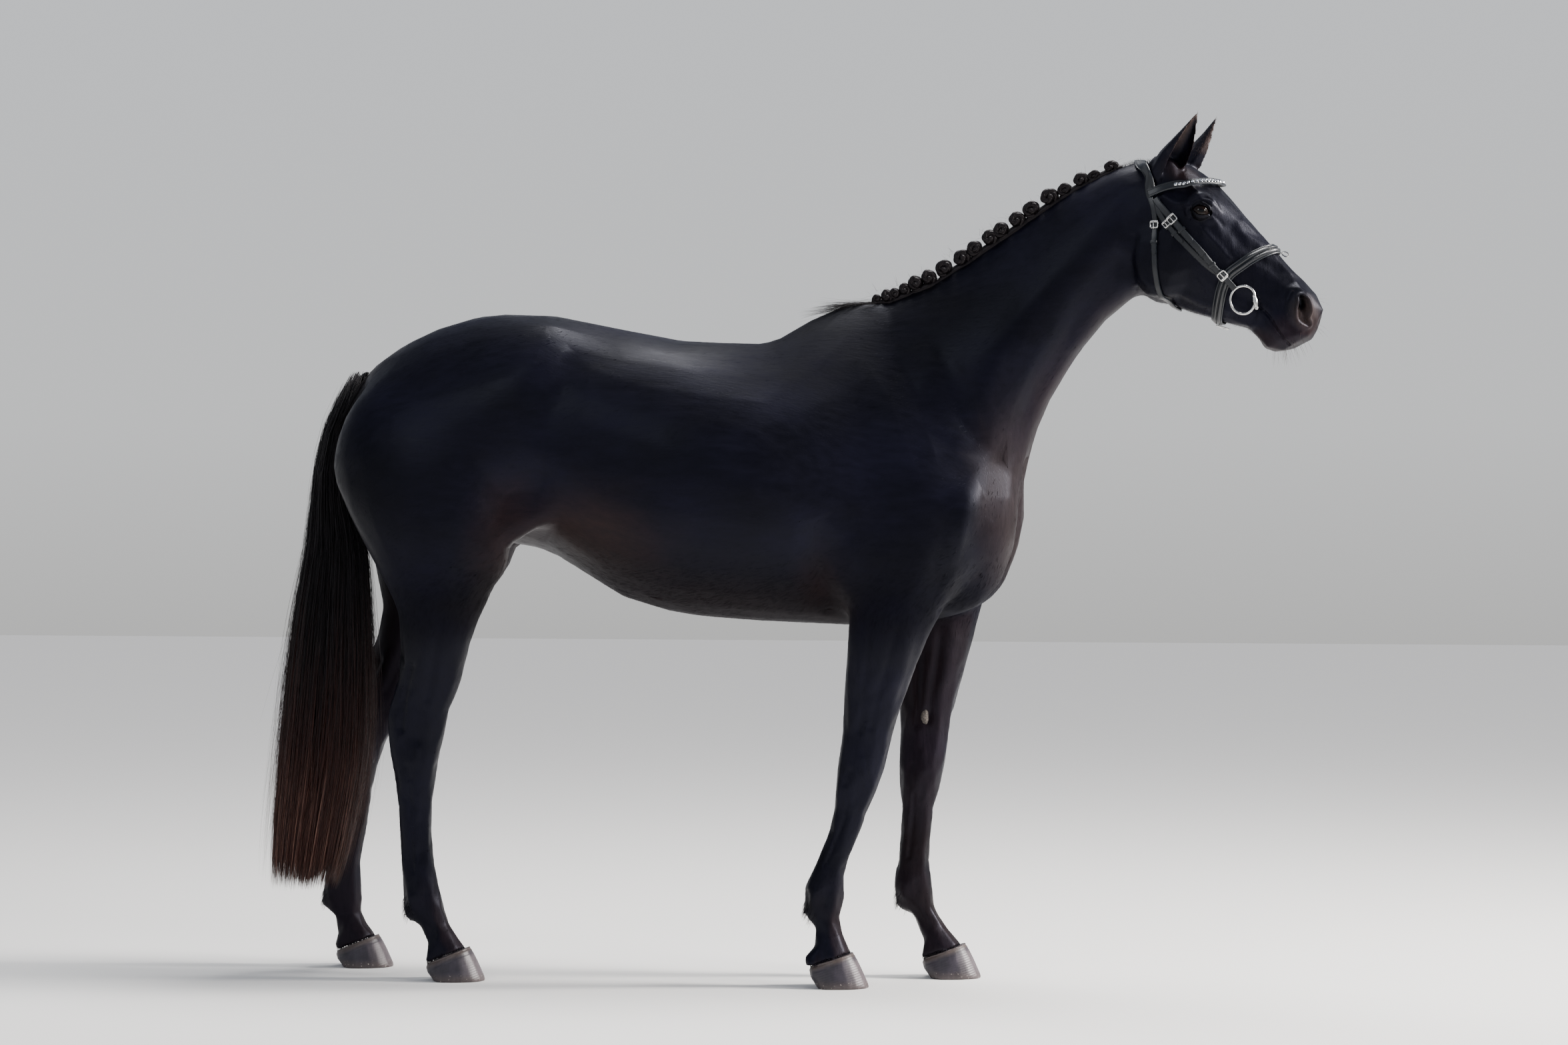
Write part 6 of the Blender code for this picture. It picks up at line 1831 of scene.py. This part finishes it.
def dock_hair(table, paint):
    """Hair that runs from the croup onto the tail."""
    rng = np.random.default_rng(64)
    out = table["normals"]
    top, back, front, _ = tail_outline()[-1]
    away = (table["centres"] - ((back + front) / 2, 0, top)) / (1.0, 0.75, 1.0)
    far = np.linalg.norm(away, axis=1)
    dock = (1 - step(far, 0.050, 0.110)) * step(out[:, 2] - out[:, 0], 0.2, 0.6)
    found = roots_on(table, dock, 700, rng)
    ways = found[0] * (0, 2, 0) + np.array((-0.62, 0, -0.9))
    standing("dock_hair", found, ways, (0.085, 0.0011, 0.10), (0.02, 0), paint, "tail_hair", rng, 7, 0.35)


def mane_wisps(table, centres, ways, paint):
    """Stray hairs of the plaits, and the loose mane before the withers."""
    rng = np.random.default_rng(65)
    rows, outs, leave = [], [], []
    for centre, way in zip(centres, ways):
        for _ in range(16):
            out = unit(np.array((rng.normal(0, 0.25), rng.normal(0, 0.7), 1.0)))
            rows.append(centre + out * 0.016 + way * rng.normal(0, 0.020))
            outs.append(out)
            leave.append(unit(out * 0.6 - way * rng.uniform(-0.2, 1.0) + rng.normal(0, 0.35, 3)))
    found = np.array(rows), np.array(outs), near_places(rows, table)
    standing("plait_strays", found, np.array(leave), (0.030, 0.00020, 0.2), (0.05, 0), paint, "tail_hair",
             rng, 6, 0.2)
    x, y, z = table["centres"].T
    crest = np.exp(-(y / 0.014) ** 2) * step(table["normals"][:, 2], 0.5, 0.8) * step(x, 0.10, 0.16) \
        * (1 - step(x, 0.24, 0.30)) * (z > 1.5)
    found = roots_on(table, crest, 420, rng)
    leave = np.outer(rng.normal(0, 0.22, 420), (0, 1, 0)) + np.array((-1, 0, -0.10))
    standing("withers_mane", found, leave, (0.085, 0.00060, 0.13), (0.03, 0), paint, "tail_hair",
             rng, 7, 0.08)


def chestnuts():
    """The small horny pads inside the forearms and below the hocks."""
    paint, shader = blank("chestnut")
    rough = noise(coordinates(paint), 240, detail=4)
    base = ramp(rough, ((0.35, (0.024, 0.020, 0.018)), (0.7, (0.115, 0.095, 0.080))))
    link(base, shader.inputs["Base Color"])
    preset(shader, Roughness=0.75)
    bumped(shader, rough, 0.8, 0.0016)
    tree = tree_of(body)
    shapes = []
    for leg in LEGS:
        height, reach = (0.650, 0.019) if is_fore(leg) else (0.505, 0.015)
        side = side_of(leg)
        back, front, across = leg_reach(rows_of(body), leg, height)
        x = back + (front - back) * 0.52
        hit, normal, _, _ = tree.ray_cast(Vector((x, across - 0.13 * side, height)), Vector((0, side, 0)))
        middle, out = np.array(hit), unit(normal)
        up = unit(np.array((0, 0, 1.0)) - out * out[2])
        wide = np.cross(up, out)
        rings = []
        for high, share in ((-0.003, 1.0), (0.0015, 1.0), (0.0042, 0.78), (0.0052, 0.4), (0.0054, 0.1)):
            turn = around(20)
            ripple = 1 + 0.08 * np.sin(3 * turn) + 0.05 * np.sin(7 * turn + 1)
            rings.append(middle + np.outer(np.cos(turn) * reach * share * ripple, up)
                         + np.outer(np.sin(turn) * reach * 0.50 * share * ripple, wide) + out * high)
        shapes.append(lofted(rings))
    piece_of("chestnuts", shapes, paint)


def coat(paint, long_paint, centres, ways):
    """All the hair of the skin, from the body's flat tufts to the lashes."""
    table, tree = skin_table(body), tree_of(body)
    flat, out = table["straight"], table["normals"]
    x, _, z = flat.T
    legs = 1 - step(z, 0.84, 0.96)
    head = step(x, 0.86, 0.92)
    ears = step(z, 2.0, 2.03) * head
    plain = (1 - legs) * (1 - head)
    breaks = 2.0 * (1 - step(z, 0.98, 1.08)) + 1.2 * np.exp(-((x - 0.11) / 0.06) ** 2) * (z < 1.2) \
        + 1.5 * np.exp(-((x + 0.70) / 0.10) ** 2) * (z < 1.25) + 1.0 * step(out[:, 2], 0.7, 0.95)
    for number, seed in enumerate((51, 54), 1):
        coat_tufts(f"body_tufts_{number}", table, tree, plain * (1 + breaks), body_size, paint, seed)
    coat_tufts("leg_tufts", table, tree, legs * (1 + step(-out[:, 0], 0.3, 0.8)), leg_size, paint, 52)
    clear = np.ones(len(x))
    for side in (-1, 1):
        for place, near, far in ((eye_frame(side)[0], 0.0262, 0.030),
                                 (spot(1.292, side * 0.036, 1.655), 0.026, 0.032)):
            clear *= step(np.linalg.norm(table["centres"] - np.array(place), axis=1), near, far)
    coat_tufts("head_tufts", table, tree, head * (1 - 0.4 * ears) * clear, head_size, paint, 53)
    fetlock_hair(table, paint)
    coronet_fringe(table, paint)
    head_hair(table, paint, long_paint)
    dock_hair(table, long_paint)
    mane_wisps(table, centres, ways, long_paint)


def finish_skin(piece, paint):
    """Model the skin, sink it by the coat's depth, and give it its tones, with painted shade and a painted
    highlight, and its place.
    """
    model_forms(piece)
    put_rows(piece, rows_of(piece) - normals_of(piece) * COAT_DEPTH)
    painted(piece, "coat_tone_and_painted_light", tones(rows_of(piece), normals_of(piece)))
    painted(piece, "coat_lie", lies(rows_of(piece)))
    unwrapped(piece)
    only(piece)
    bpy.ops.object.shade_smooth()
    piece.data.materials.append(paint)
    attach(piece, "root")
    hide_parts(*FLESH)


def earless_tree(piece):
    """A search tree over the plain skin without its ears, which the bridle and the plaits lie on."""
    shape = bmesh.new()
    shape.from_mesh(piece.data)
    ears = [vert for vert in shape.verts if vert.co.x > 0.925 and vert.co.z > 2.0]
    bmesh.ops.delete(shape, geom=ears, context="VERTS")
    tree = BVHTree.FromBMesh(shape)
    shape.free()
    return tree


camera()
studio()
body = skin()
head_tree = earless_tree(body)
short_coat = coat_paint()
finish_skin(body, short_coat)
long_hair = hair_paint()
bridle(head_tree)
eyes()
hooves()
tail(long_hair)
centres, ways = plaits(head_tree, long_hair)
chestnuts()
coat(short_coat, long_hair, centres, ways)
